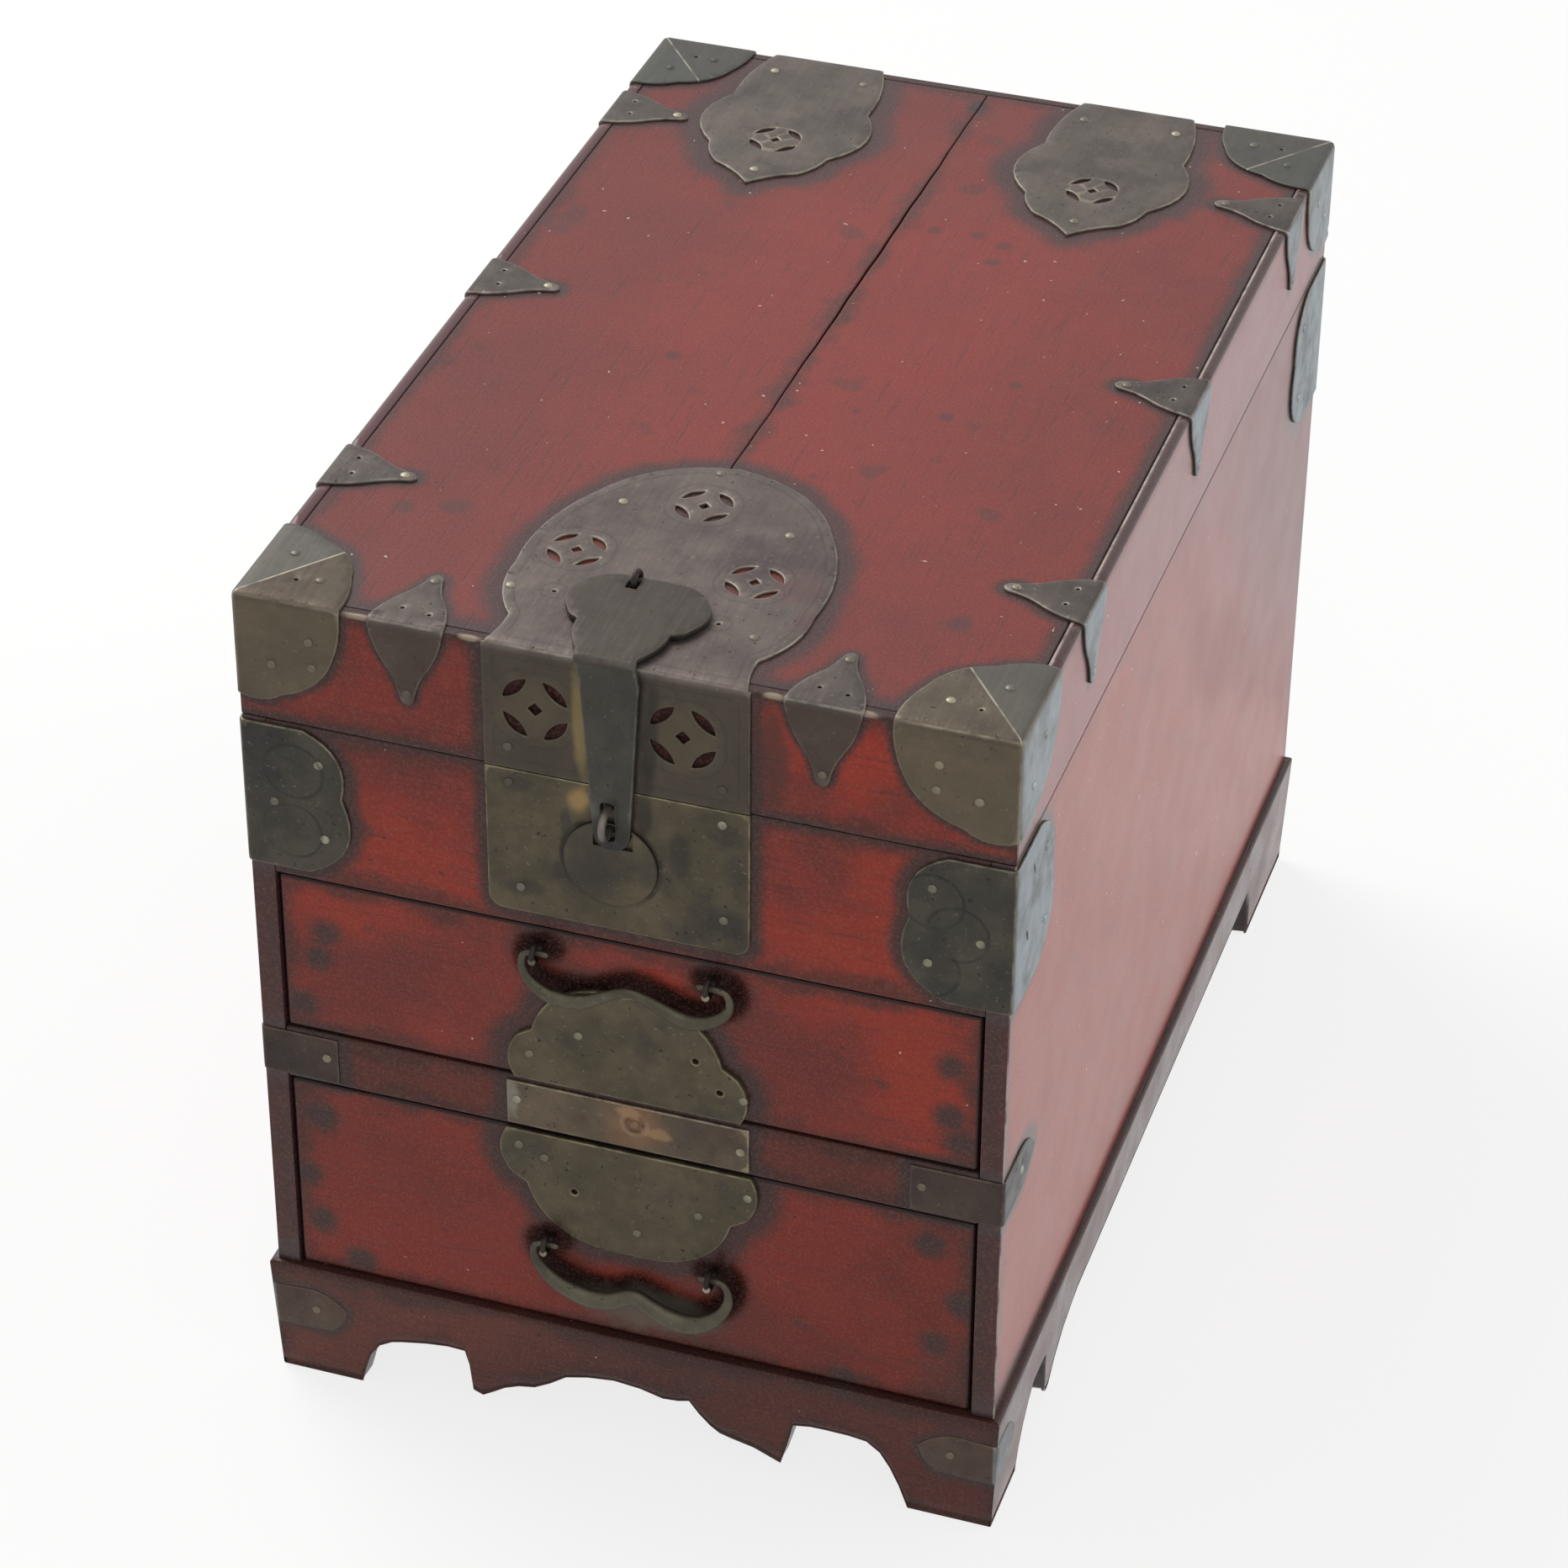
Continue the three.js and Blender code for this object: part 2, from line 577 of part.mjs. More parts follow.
// Two-lobed straps folded round the case's upper corners
const cornerFront = 27
const cornerSide = 33
const cornerDrop = 41
const cornerBelowSeam = 1
const cornerShares = [[0, 0, 0], [0.58, 0, 0.22], [0.92, 0.44, 0.24], [0.58, 1, 0], [0, 1, 0]]
const cornerNailShares = [[0.72, 0.22], [0.74, 0.74]]

for (const [endName, end] of [['front', -1], ['rear', 1]]) {
  for (const [sideName, side] of [['left', -1], ['right', 1]]) {
    const level = caseTop - cornerBelowSeam
    const wall = end < 0 ? faces.front : faces.back
    const flank = side < 0 ? faces.left : faces.right
    const pieces = [
      ...flap(wall, side, level, cornerShares, cornerFront, cornerDrop, cornerNailShares),
      ...flap(flank, end, level, cornerShares, cornerSide, cornerDrop, cornerNailShares)
    ]
    add(`case_corner_${endName}_${sideName}`, join(...pieces), patinatedBrass)
  }
}

// Hinges: a lobed leaf on the lid folded down the back, a leaf on the case, and a pin through the knuckles
const leftHingeShare = -0.494
const rightHingeShare = 0.434
const hingeHalfShare = 0.109
const hingeHalf = hingeHalfShare * width
const hingeReach = 74
const hingeShares = mirrored([
  [0.74, 0, 0.06], [0.93, 0.36, 0.2], [0.8, 0.74, 0.08], [0.55, 0.88, -0.06], [0, 1, 0]
])
const hingeCoinShare = 0.66
const hingeNailShares = [[0, 0.9], [-0.62, 0.14], [0.62, 0.14]]
const knuckleRadius = 2.2
const knuckleHalf = 5
const knuckleOuter = 3 * knuckleHalf + jointGap
const boreRadius = 1.3
const pinRadius = 1
const caseLeafDrop = 34
const caseLeafShares = mirrored([[1, 0, 0], [1, 0.5, 0.12], [0.6, 0.8, 0.1], [0, 1, 0]])
const caseLeafNailShares = [[-0.6, 0.4], [0.6, 0.4], [0, 0.8]]
const pinY = halfDepth + knuckleRadius + jointGap
const pinZ = (caseTop + lidBottom) / 2
const knuckleClear = knuckleRadius + 2 * jointGap

for (const [name, share] of [['left', leftHingeShare], ['right', rightHingeShare]]) {
  const x = share * halfWidth
  const onLid = (u, v) => [x + u, foldedHalf - v]
  const leafShape = outline(hingeShares, hingeHalf, hingeReach, onLid)
  const backSheet = [halfDepth, foldedHalf]
  const lidLeaf = join(
    sheet(faces.top, pierce(leafShape, [onLid(0, hingeCoinShare * hingeReach)])),
    board(span(x, knuckleOuter), backSheet, [pinZ + knuckleClear, metalTop]),
    board(span(x, knuckleHalf), backSheet, [pinZ, pinZ + 2 * knuckleClear]),
    crossBar(knuckleRadius, span(x, knuckleHalf), pinY, pinZ),
    ...hingeNailShares.map(([u, v]) => nail(faces.top, ...onLid(u * hingeHalf, v * hingeReach)))
  )
  const boreSpan = span(x, knuckleOuter + overrun)
  add(`lid_hinge_leaf_${name}`, cut(lidLeaf, crossBar(boreRadius, boreSpan, pinY, pinZ)), patinatedBrass)

  const leafTop = pinZ - knuckleClear
  const onCase = (u, drop) => [faces.back.side * (x + u), leafTop - drop]
  const knuckles = [-1, 1].flatMap((side) => {
    const along = span(x + side * (knuckleOuter + knuckleHalf + jointGap) / 2, knuckleHalf)
    return [
      board(along, backSheet, [leafTop - knuckleClear, pinZ]),
      crossBar(knuckleRadius, along, pinY, pinZ)
    ]
  })
  const caseLeaf = join(
    sheet(faces.back, outline(caseLeafShares, knuckleOuter, caseLeafDrop, onCase)), ...knuckles,
    ...caseLeafNailShares.map(([u, v]) => nail(faces.back, ...onCase(u * knuckleOuter, v * caseLeafDrop)))
  )
  add(`case_hinge_leaf_${name}`, cut(caseLeaf, crossBar(boreRadius, boreSpan, pinY, pinZ)), patinatedBrass)
  add(`hinge_pin_${name}`, crossBar(pinRadius, span(x, knuckleOuter + jointGap), pinY, pinZ), darkBrass)
}

// Brass strip on the rail between the drawers
const railPlateHalf = 31.1
const railPlateX = 0.5
const railPlateMargin = 1.2
const railShape = new THREE.Shape()
const railLevels = [lowerTop + railPlateMargin, railTop - railPlateMargin]
railShape.moveTo(railPlateX - railPlateHalf, railLevels[0])
railShape.lineTo(railPlateX + railPlateHalf, railLevels[0])
railShape.lineTo(railPlateX + railPlateHalf, railLevels[1])
railShape.lineTo(railPlateX - railPlateHalf, railLevels[1])
const railMiddle = (lowerTop + railTop) / 2
const railNailReach = railPlateHalf - 2 * nailRadius
const railNails = [-1, 0, 1].map((end) => nail(faces.front, railPlateX + end * railNailReach, railMiddle))
add('rail_plate', join(sheet(faces.front, railShape), ...railNails), patinatedBrass)

// Drawers: a front, walls and a bottom, a lobed plate that makes a roundel with the other drawer's, and a
// bail that hangs in two eyed posts
const drawerPlateX = 0.5
const drawerPlateShares = mirrored([
  [0.93, 0, 0.16], [0.9, 0.42, 0], [0.78, 0.5, 0.13], [0.38, 0.96, 0.05], [0, 1, 0]
])
const drawerPlateNailShares = [[0.82, 0.24], [-0.82, 0.24]]
const postX = 22
const postWire = 0.75
const eyeRadius = 2.45
const shankRadius = 1
const postHole = shankRadius + jointGap
const bailWire = 1.35
const eyeOuter = eyeRadius + postWire
const pivotY = -halfDepth - eyeOuter - jointGap
const bailHalf = 27.4
const bailHalfShares = [
  [0, 0.6], [0.18, 0.74], [0.33, 0.91], [0.49, 1], [0.65, 0.99], [0.79, 0.89], [0.93, 0.66], [1, 0.37],
  [0.98, 0.12], [0.92, 0.01], [0.71, 0]
]

function eyedPost (x, z) {
  const ring = new THREE.TorusGeometry(eyeRadius, postWire, wireSides, roundSides)
  ring.rotateY(Math.PI / 2)
  ring.translate(x, pivotY, z)
  const shankEnd = drawerFrontBoard + clinch - halfDepth
  const shankStart = pivotY + eyeRadius
  const shank = new THREE.CylinderGeometry(shankRadius, shankRadius, shankEnd - shankStart, wireSides)
  shank.translate(x, (shankStart + shankEnd) / 2, z)
  return join(ring, shank)
}

function bail (z, drop) {
  const place = ([u, v]) => [drawerPlateX + u * bailHalf, pivotY, z - v * drop]
  const left = bailHalfShares.slice(1).map(([u, v]) => place([-u, v])).reverse()
  return wire([...left, ...bailHalfShares.map(place)], bailWire, bailSteps)
}

function drawer (name, [floor, ceiling], wallHeight, pivotZ, bailDrop, plateShape) {
  const under = floor + jointGap
  const trayWidth = innerHalfWidth - drawerSideGap
  const frontBack = drawerFrontBoard - halfDepth
  const trayBack = innerHalfDepth - drawerBackGap
  const wallSpan = [under + drawerBottomBoard, under + wallHeight]
  const through = [-halfDepth - overrun, frontBack + overrun]
  const postHoles = [-1, 1].map((side) => {
    return board(span(drawerPlateX + side * postX, postHole), through, span(pivotZ, postHole))
  })
  const frontBoard = board(span(0, trayWidth), [-halfDepth, frontBack], [under, ceiling - drawerTopGap])
  add(`${name}_drawer_front`, cut(frontBoard, ...postHoles), lacquer)
  const outerWalls = board(span(0, trayWidth), [frontBack, trayBack], wallSpan)
  const hollow = board(
    span(0, trayWidth - drawerWallBoard), [frontBack - overrun, trayBack - drawerWallBoard],
    [under, under + wallHeight + overrun]
  )
  add(`${name}_drawer_walls`, cut(outerWalls, hollow), bareWood)
  const bottomSpan = [under, under + drawerBottomBoard]
  add(`${name}_drawer_bottom`, board(span(0, trayWidth), [frontBack, trayBack], bottomSpan), bareWood)
  add(`${name}_drawer_plate`, plateShape, patinatedBrass)
  for (const [sideName, side] of [['left', -1], ['right', 1]]) {
    add(`${name}_post_${sideName}`, eyedPost(drawerPlateX + side * postX, pivotZ), darkBrass)
  }
  add(`${name}_bail`, bail(pivotZ, bailDrop), darkBrass)
}

// A half roundel whose straight side lies on a level and whose lobes run up or down
function halfRoundel (half, reach, level, way) {
  const place = (u, v) => [drawerPlateX + u, level + way * v]
  const nails = drawerPlateNailShares.map(([u, v]) => nail(faces.front, ...place(u * half, v * reach)))
  return join(sheet(faces.front, outline(drawerPlateShares, half, reach, place)), ...nails)
}

const upperPlateHalf = 31.2
const lowerPlateHalf = 34
const plateReach = 32.5
const upperWallHeight = 38
const lowerWallHeight = 52
const upperBailBelow = 5.5
const lowerBailBelow = 33
const upperBailDrop = 11
const lowerBailDrop = 13.4
const upperPivotZ = upperTop - upperBailBelow
const lowerPivotZ = lowerTop - lowerBailBelow
const upperPlate = halfRoundel(upperPlateHalf, plateReach, railTop + jointGap, 1)
const lowerPlate = halfRoundel(lowerPlateHalf, plateReach, lowerTop - drawerTopGap, -1)
drawer('upper', [railTop, upperTop], upperWallHeight, upperPivotZ, upperBailDrop, upperPlate)
drawer('lower', [baseHeight, lowerTop], lowerWallHeight, lowerPivotZ, lowerBailDrop, lowerPlate)

// The whole box is set over the origin by the middle of what stands furthest out at the front and back
const extent = new THREE.Box3().setFromObject(writingBox)
writingBox.position.y = -(extent.min.y + extent.max.y) / 2

export default writingBox
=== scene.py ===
import bpy
import numpy as np
from mathutils import Matrix, Vector
from mathutils.geometry import delaunay_2d_cdt


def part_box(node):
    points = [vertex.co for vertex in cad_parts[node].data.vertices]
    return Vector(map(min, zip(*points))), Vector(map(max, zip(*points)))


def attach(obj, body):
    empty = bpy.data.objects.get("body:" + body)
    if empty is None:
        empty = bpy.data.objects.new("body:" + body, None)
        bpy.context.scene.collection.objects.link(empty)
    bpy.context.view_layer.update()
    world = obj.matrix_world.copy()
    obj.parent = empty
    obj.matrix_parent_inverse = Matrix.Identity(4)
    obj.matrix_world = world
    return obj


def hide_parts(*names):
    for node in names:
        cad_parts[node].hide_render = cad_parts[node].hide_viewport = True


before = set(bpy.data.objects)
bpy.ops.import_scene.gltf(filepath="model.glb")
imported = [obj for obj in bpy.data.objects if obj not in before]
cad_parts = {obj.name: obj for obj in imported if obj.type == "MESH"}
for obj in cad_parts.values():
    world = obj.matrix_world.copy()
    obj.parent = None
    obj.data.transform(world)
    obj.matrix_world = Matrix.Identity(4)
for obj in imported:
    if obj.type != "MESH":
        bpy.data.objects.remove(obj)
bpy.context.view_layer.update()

# The box stands on a plain pale table in soft daylight, seen from in front, above and a little to the
# right, through a long lens. A broad window stands behind its left shoulder, and the room is pale.
SHADOW_SIDE = 0.42
TABLE_PALE = 0.86
TABLE_HALF = 6
FRONT_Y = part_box("side_left")[0].y
MIDDLE_Y = FRONT_Y + 0.15

camera_data = bpy.data.cameras.new("long_lens")
camera_data.lens = 114.42
camera_data.sensor_width = 36
camera = bpy.data.objects.new("long_lens", camera_data)
camera_axes = Matrix(((0.94879, -0.18623, 0.25516), (0.31584, 0.54394, -0.77742),
                      (0.00599, 0.81820, 0.57491)))
camera.matrix_world = camera_axes.to_4x4()
camera.location = (0.32879, -1.03111 + MIDDLE_Y, 0.86552)
bpy.context.collection.objects.link(camera)
bpy.context.scene.camera = camera
bpy.context.scene.view_settings.view_transform = "Standard"

for name, place, size, power, tint in (
        ("window_left", (-1.1, 0.55, 1.5), 1.1, 26, (1.0, 0.985, 0.96)),
        ("room_front", (0.5, -1.9, 1.3), 1.6, 8, (1.0, 0.98, 0.95)),
        ("room_right", (1.7, 0.45, 0.7), 1.0, 11, (1.0, 0.97, 0.95))):
    light = bpy.data.lights.new(name, "AREA")
    light.size = size
    light.energy = power
    light.color = tint
    lamp = bpy.data.objects.new(name, light)
    lamp.location = place
    lamp.rotation_euler = (Vector((0, 0, 0.12)) - Vector(place)).to_track_quat("-Z", "Y").to_euler()
    bpy.context.collection.objects.link(lamp)


def fed(node, inputs):
    """Gives each input of a shader node its value or its link."""
    for key, value in inputs.items():
        if isinstance(value, bpy.types.NodeSocket):
            node.id_data.links.new(value, node.inputs[key])
        else:
            node.inputs[key].default_value = value
    return node


def node_in(tree, kind, inputs=None, **settings):
    """Adds a shader node with its settings and its inputs."""
    node = tree.nodes.new(kind)
    for key, value in settings.items():
        setattr(node, key, value)
    return fed(node, inputs or {})


def maths(operation, a, b=0.0):
    """One Math node, in the tree that its values belong to."""
    tree = (a if isinstance(a, bpy.types.NodeSocket) else b).id_data
    return node_in(tree, "ShaderNodeMath", {0: a, 1: b}, operation=operation).outputs[0]


def seen_or_mirrored(tree):
    """1 for what the camera, a glossy face or clear glass sees, and 0 for the light that falls on things."""
    rays = node_in(tree, "ShaderNodeLightPath").outputs
    seen = maths("MAXIMUM", rays["Is Camera Ray"], rays["Is Glossy Ray"])
    return maths("MAXIMUM", seen, rays["Is Transmission Ray"])


def new_material(name):
    """A plain material, its node tree and its shader."""
    material = bpy.data.materials.new(name)
    material.use_nodes = True
    return material, material.node_tree, material.node_tree.nodes["Principled BSDF"]


world = bpy.data.worlds.new("pale_room")
world.use_nodes = True
level = node_in(world.node_tree, "ShaderNodeMapRange", {
    "Value": seen_or_mirrored(world.node_tree), "To Min": SHADOW_SIDE, "To Max": 1.0}).outputs[0]
fed(world.node_tree.nodes["Background"], {"Color": (1, 1, 1, 1), "Strength": level})
bpy.context.scene.world = world

table_mesh = bpy.data.meshes.new("table_top")
table_mesh.from_pydata([(x * TABLE_HALF, y * TABLE_HALF, 0) for x, y in ((-1, -1), (1, -1), (1, 1), (-1, 1))],
                       [], [(0, 1, 2, 3)])
table_top = bpy.data.objects.new("table_top", table_mesh)
bpy.context.collection.objects.link(table_top)
pale, pale_tree, pale_shader = new_material("pale_table")
fed(pale_shader, {"Base Color": (TABLE_PALE, TABLE_PALE, TABLE_PALE, 1), "Roughness": 0.9})
white = node_in(pale_tree, "ShaderNodeEmission", {"Color": (1, 1, 1, 1), "Strength": 1.0})
white_part = node_in(pale_tree, "ShaderNodeMapRange", {"Value": seen_or_mirrored(pale_tree), "To Max": 0.8})
pale_mix = node_in(pale_tree, "ShaderNodeMixShader", {
    0: white_part.outputs[0], 1: pale_shader.outputs[0], 2: white.outputs[0]})
fed(pale_tree.nodes["Material Output"], {0: pale_mix.outputs[0]})
table_mesh.materials.append(pale)

# Boards of the case and the two drawer fronts: planed softwood, about 6 mm thick, pinned and glued, with
# rounded arrises under a red-brown lacquer that has worn dark along the edges and round every fitting.
HALF_WIDTH, HALF_DEPTH = 95.0, 150.0
BASE_TOP, LOWER_TOP, RAIL_TOP, UPPER_TOP, CASE_TOP = 36.0, 96.5, 112.0, 159.0, 203.5
CASE_BOARD, RAIL_BOARD, DRAWER_BOARD = 6.0, 12.0, 7.0
ARRIS = 0.8
DRAWER_SET_BACK = 0.5
GRID = 2.2
BOARD_Y = -149.5
SIDES = (("left", -1), ("right", 1))
lacquered, haloes, sooted = [], [], []


def in_metres(points):
    """Millimetres from the middle of the box at its feet become metres in the CAD frame."""
    moved = np.array(points, float) / 1000
    moved[..., 1] += MIDDLE_Y
    return moved


def mark(marks, x, z, reach):
    """Notes a place on the box's front that stains the boards, or gives them a painted shade, as far as its
    reach.
    """
    marks.append((np.array([(x, -HALF_DEPTH, z)]), reach))


def tone(red, green, blue):
    """A colour as a picture shows it, 0 to 255, to linear light: ((c / 255 + 0.055) / 1.055) ** 2.4."""
    shown = np.array([red, green, blue]) / 255
    return (*np.where(shown > 0.04, ((shown + 0.055) / 1.055) ** 2.4, shown / 12.92), 1.0)


def piece_of(name, points, faces, body, material, slot, stands_for=(), **attributes):
    """Puts points in millimetres and their faces into a smooth mesh that rides on a body."""
    mesh = bpy.data.meshes.new(name)
    mesh.from_pydata(in_metres(points).tolist(), [], [list(face) for face in faces])
    mesh.shade_smooth()
    for key, values in attributes.items():
        layer = mesh.attributes.new(key, "FLOAT", "POINT")
        layer.data.foreach_set("value", np.asarray(values, np.float32))
    mesh.materials.append(material)
    piece = bpy.data.objects.new(name, mesh)
    bpy.context.collection.objects.link(piece)
    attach(piece, body)
    if stands_for:
        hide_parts(*stands_for)
    return piece


def grid_faces(rows, columns, start=0, turned=False, closed=False):
    """Quads of a grid whose point (i, j) is number start + i * columns + j, and whose last column meets its
    first one if it is closed."""
    row = np.arange(rows - 1)[:, None] * columns
    column = np.arange(columns if closed else columns - 1)
    ahead = (column + 1) % columns
    quads = np.stack([row + column, row + ahead, row + columns + ahead, row + columns + column], -1)
    quads = start + quads.reshape(-1, 4)
    return quads[:, ::-1] if turned else quads


def welded(points, faces, *values):
    """Points that share a place become one, and faces that lose a corner drop it."""
    _, first, inverse = np.unique(np.round(points, 3), axis=0, return_index=True, return_inverse=True)
    inverse = inverse.ravel().tolist()
    faces = [list(dict.fromkeys(inverse[number] for number in face)) for face in faces]
    return (points[first], [face for face in faces if len(face) > 2], *[value[first] for value in values])


def samples(low, high, radius):
    """Places from low to high: close together over the rounded ends, and then about a grid step apart."""
    ends = radius * np.array([0, 0.25, 0.5, 0.75, 1, 1.3])
    middle = np.linspace(low + ends[-1], high - ends[-1], max(2, int((high - low) / GRID)))
    return np.concatenate([low + ends[:-1], middle, high - ends[-2::-1]])


def rounded_board(low, high, radius=ARRIS):
    """A box surface p is pulled onto rounded arrises: core + radius * unit(p - core), where core is p held
    a radius inside the box. Gives points, faces and each point's distance from the nearest arris."""
    low, high = np.array(low, float), np.array(high, float)
    places = [samples(low[k], high[k], radius) for k in range(3)]
    points, faces, count = [], [], 0
    for k in range(3):
        a, b = (k + 1) % 3, (k + 2) % 3
        for end in (low, high):
            sheet = np.empty((len(places[a]), len(places[b]), 3))
            sheet[..., a] = places[a][:, None]
            sheet[..., b] = places[b]
            sheet[..., k] = end[k]
            points.append(sheet.reshape(-1, 3))
            faces.append(grid_faces(len(places[a]), len(places[b]), count, turned=end is high))
            count += len(points[-1])
    sharp = np.concatenate(points)
    core = np.clip(sharp, low + radius, high - radius)
    away = sharp - core
    round_points = core + radius * away / np.maximum(np.linalg.norm(away, axis=1, keepdims=True), 1e-9)
    arris = np.sort(np.minimum(sharp - low, high - sharp), axis=1)[:, 1]
    return welded(round_points, np.concatenate(faces), arris)


def object_place(tree):
    """The place on the box, in metres."""
    return node_in(tree, "ShaderNodeTexCoord").outputs["Object"]


def axes_of(tree):
    """The place on the box along x, y and z, in metres."""
    return node_in(tree, "ShaderNodeSeparateXYZ", {0: object_place(tree)}).outputs


def cloud(tree, scale, detail=3.0, rough=0.55, stretch=(1, 1, 1), offset=(0, 0, 0)):
    """Noise on the object's own coordinates, stretched along its axes: 0 to 1, mostly near 0.5."""
    turned = node_in(tree, "ShaderNodeMapping", {
        "Vector": object_place(tree), "Scale": stretch, "Location": offset}).outputs[0]
    return node_in(tree, "ShaderNodeTexNoise", {
        "Vector": turned, "Scale": scale, "Detail": detail, "Roughness": rough}).outputs[0]


def step_up(value, low, high, top=1.0, bottom=0.0):
    """A smooth rise from bottom to top as value goes from low to high."""
    return node_in(value.id_data, "ShaderNodeMapRange", {
        "Value": value, "From Min": low, "From Max": high, "To Min": bottom, "To Max": top},
        interpolation_type="SMOOTHSTEP").outputs[0]


def times(a, b):
    """a * b."""
    return maths("MULTIPLY", a, b)


def plus(a, b):
    """a + b."""
    return maths("ADD", a, b)


def laid_over(share, under, over):
    """The colour over laid on the colour under, by a share from 0 to 1. A colour is a link or 0 to 255."""
    colours = {6: under, 7: over}
    for key, colour in colours.items():
        if isinstance(colour, tuple):
            colours[key] = tone(*colour)
    return node_in(share.id_data, "ShaderNodeMix", {0: share, **colours}, data_type="RGBA").outputs[2]


def attribute(tree, name):
    """A number that the piece's own points carry."""
    return node_in(tree, "ShaderNodeAttribute", attribute_name=name).outputs["Fac"]


def film(share, *over):
    """Lays a tone over the colour that the share's material has so far."""
    shader = share.id_data.nodes["Principled BSDF"]
    under = shader.inputs["Base Color"].links[0].from_socket
    fed(shader, {"Base Color": laid_over(share, under, over)})


def blob(tree, centre, radii, share, tilt=(0, 0, 0), fray=0.5, core=0.35):
    """A patch round a place on the box (millimetres): the share inside it, 0 outside, and a frayed edge."""
    local = node_in(tree, "ShaderNodeMapping", {
        "Vector": object_place(tree), "Location": tuple(in_metres(centre)),
        "Rotation": tuple(np.radians(tilt)), "Scale": tuple(np.array(radii) / 1000)},
        vector_type="TEXTURE").outputs[0]
    reach = node_in(tree, "ShaderNodeVectorMath", {0: local}, operation="LENGTH").outputs["Value"]
    ragged = times(maths("SUBTRACT", cloud(tree, 190, 4, 0.6), 0.5), 2 * fray)
    return step_up(plus(reach, ragged), 1.0, core, share)


def patch(material, over, *shape, **more):
    """Lays a tone over a material in a blob of that shape."""
    film(blob(material.node_tree, *shape, **more), *over)


def finished(shader, colour, rough, height, strength):
    """Gives a shader its colour, its roughness, and a relief half a millimetre high at most."""
    bump = node_in(shader.id_data, "ShaderNodeBump", {
        "Height": height, "Strength": strength, "Distance": 0.0005})
    fed(shader, {"Base Color": colour, "Roughness": rough, "Normal": bump.outputs[0]})


def lacquer(name, grain, red, deep, dark, stain_tone, gloss=0.3, rough=0.3, uneven=1.0, edge_share=0.72,
            shade=None):
    """Lacquer over grain that runs along one axis: a cloudy red, fine dark pores, a dark worn arris, and a
    stain that has spread from the fittings as the points' stain value says, with a soft uneven edge."""
    material, tree, shader = new_material(name)
    along = tuple(0.06 if axis == grain else 1.0 for axis in "XYZ")
    colour = laid_over(step_up(cloud(tree, 24, 4), 0.38, 0.66, uneven), red, deep)
    if shade:
        colour = shade(tree, colour)
    pores = step_up(cloud(tree, 900, 2, 0.6, along), 0.55, 0.74, 0.42 * uneven)
    ragged = maths("SUBTRACT", cloud(tree, 70, 5, 0.62), 0.5)
    arris, soot = attribute(tree, "arris"), attribute(tree, "soot")
    for share, over in (
            (step_up(cloud(tree, 170, 3, 0.6, along), 0.45, 0.78, 0.4 * uneven), deep),
            (pores, dark),
            (step_up(cloud(tree, 430, 2, 0.5), 0.71, 0.76, 0.7 * uneven), dark),
            (step_up(cloud(tree, 55, 2, 0.5, offset=(1, 7, 3)), 0.66, 0.74, 0.55 * uneven), stain_tone),
            (step_up(plus(arris, times(ragged, 16.0)), 6.0, 0.5, edge_share), dark),
            (step_up(plus(attribute(tree, "stain"), times(ragged, 0.6)), 0.14, 0.76, 0.9), stain_tone),
            # Painted shade behind the bails, round the eyes and inside the front coins, nearly black.
            (step_up(soot, 0.05, 0.75, 0.92), (31, 14, 12)),
            (step_up(cloud(tree, 1500, 2, 0.6), 0.42, 0.75, 0.1), (190, 140, 124)),
            (step_up(cloud(tree, 520, 1, 0.4, offset=(4, 4, 9)), 0.8, 0.82, 0.7), (206, 188, 170)),
            # Painted shade, nearly black, on the arrises of the drawer fronts beside the opening round them.
            (times(step_up(arris, 1.15, 0.45, 0.9), attribute(tree, "gap")), (26, 16, 16))):
        colour = laid_over(share, colour, over)
    # The painted shade loses its gloss too, so that it stays dark.
    fed(shader, {"Specular IOR Level": step_up(soot, 0.05, 0.5, 0.03, gloss)})
    dull = step_up(cloud(tree, 60, 4), 0.3, 0.7, rough + 0.07 * uneven, rough - 0.05 * uneven)
    finished(shader, colour, dull, plus(times(pores, -0.8), times(cloud(tree, 45, 3), 1.6)), 0.3 * uneven)
    return material


RED, DEEP_RED, DARK_EDGE, GREY_STAIN = (141, 44, 29), (104, 38, 31), (58, 33, 29), (50, 39, 37)


def front_shade(tree, under):
    """Darker on the lower drawer, and brown in two of its corners."""
    under = laid_over(step_up(axes_of(tree)[2], 0.104, 0.096, 0.42), under, (86, 27, 19))
    for centre, radii in (((86, BOARD_Y, 44), (18, 4, 22)), ((-82, BOARD_Y, 87), (10, 4, 11))):
        under = laid_over(blob(tree, centre, radii, 0.65, core=0.2), under, (62, 38, 33))
    return under


front_lacquer = lacquer("front_lacquer", "X", RED, DEEP_RED, DARK_EDGE, GREY_STAIN, 0.23, shade=front_shade)


def flank_marks(tree):
    """The depth from the box's middle, height + 0.72 * depth with a wavy edge, and the share of a dark smear
    that slants down behind the middle where that sum is 0.17."""
    depth = maths("SUBTRACT", axes_of(tree)[1], MIDDLE_Y)
    slant = plus(axes_of(tree)[2], times(depth, 0.72))
    slant = plus(slant, times(maths("SUBTRACT", cloud(tree, 26, 4, 0.55), 0.5), 0.04))
    smear = times(step_up(slant, 0.148, 0.166), step_up(slant, 0.196, 0.17))
    return depth, slant, times(smear, step_up(depth, -0.01, 0.03))


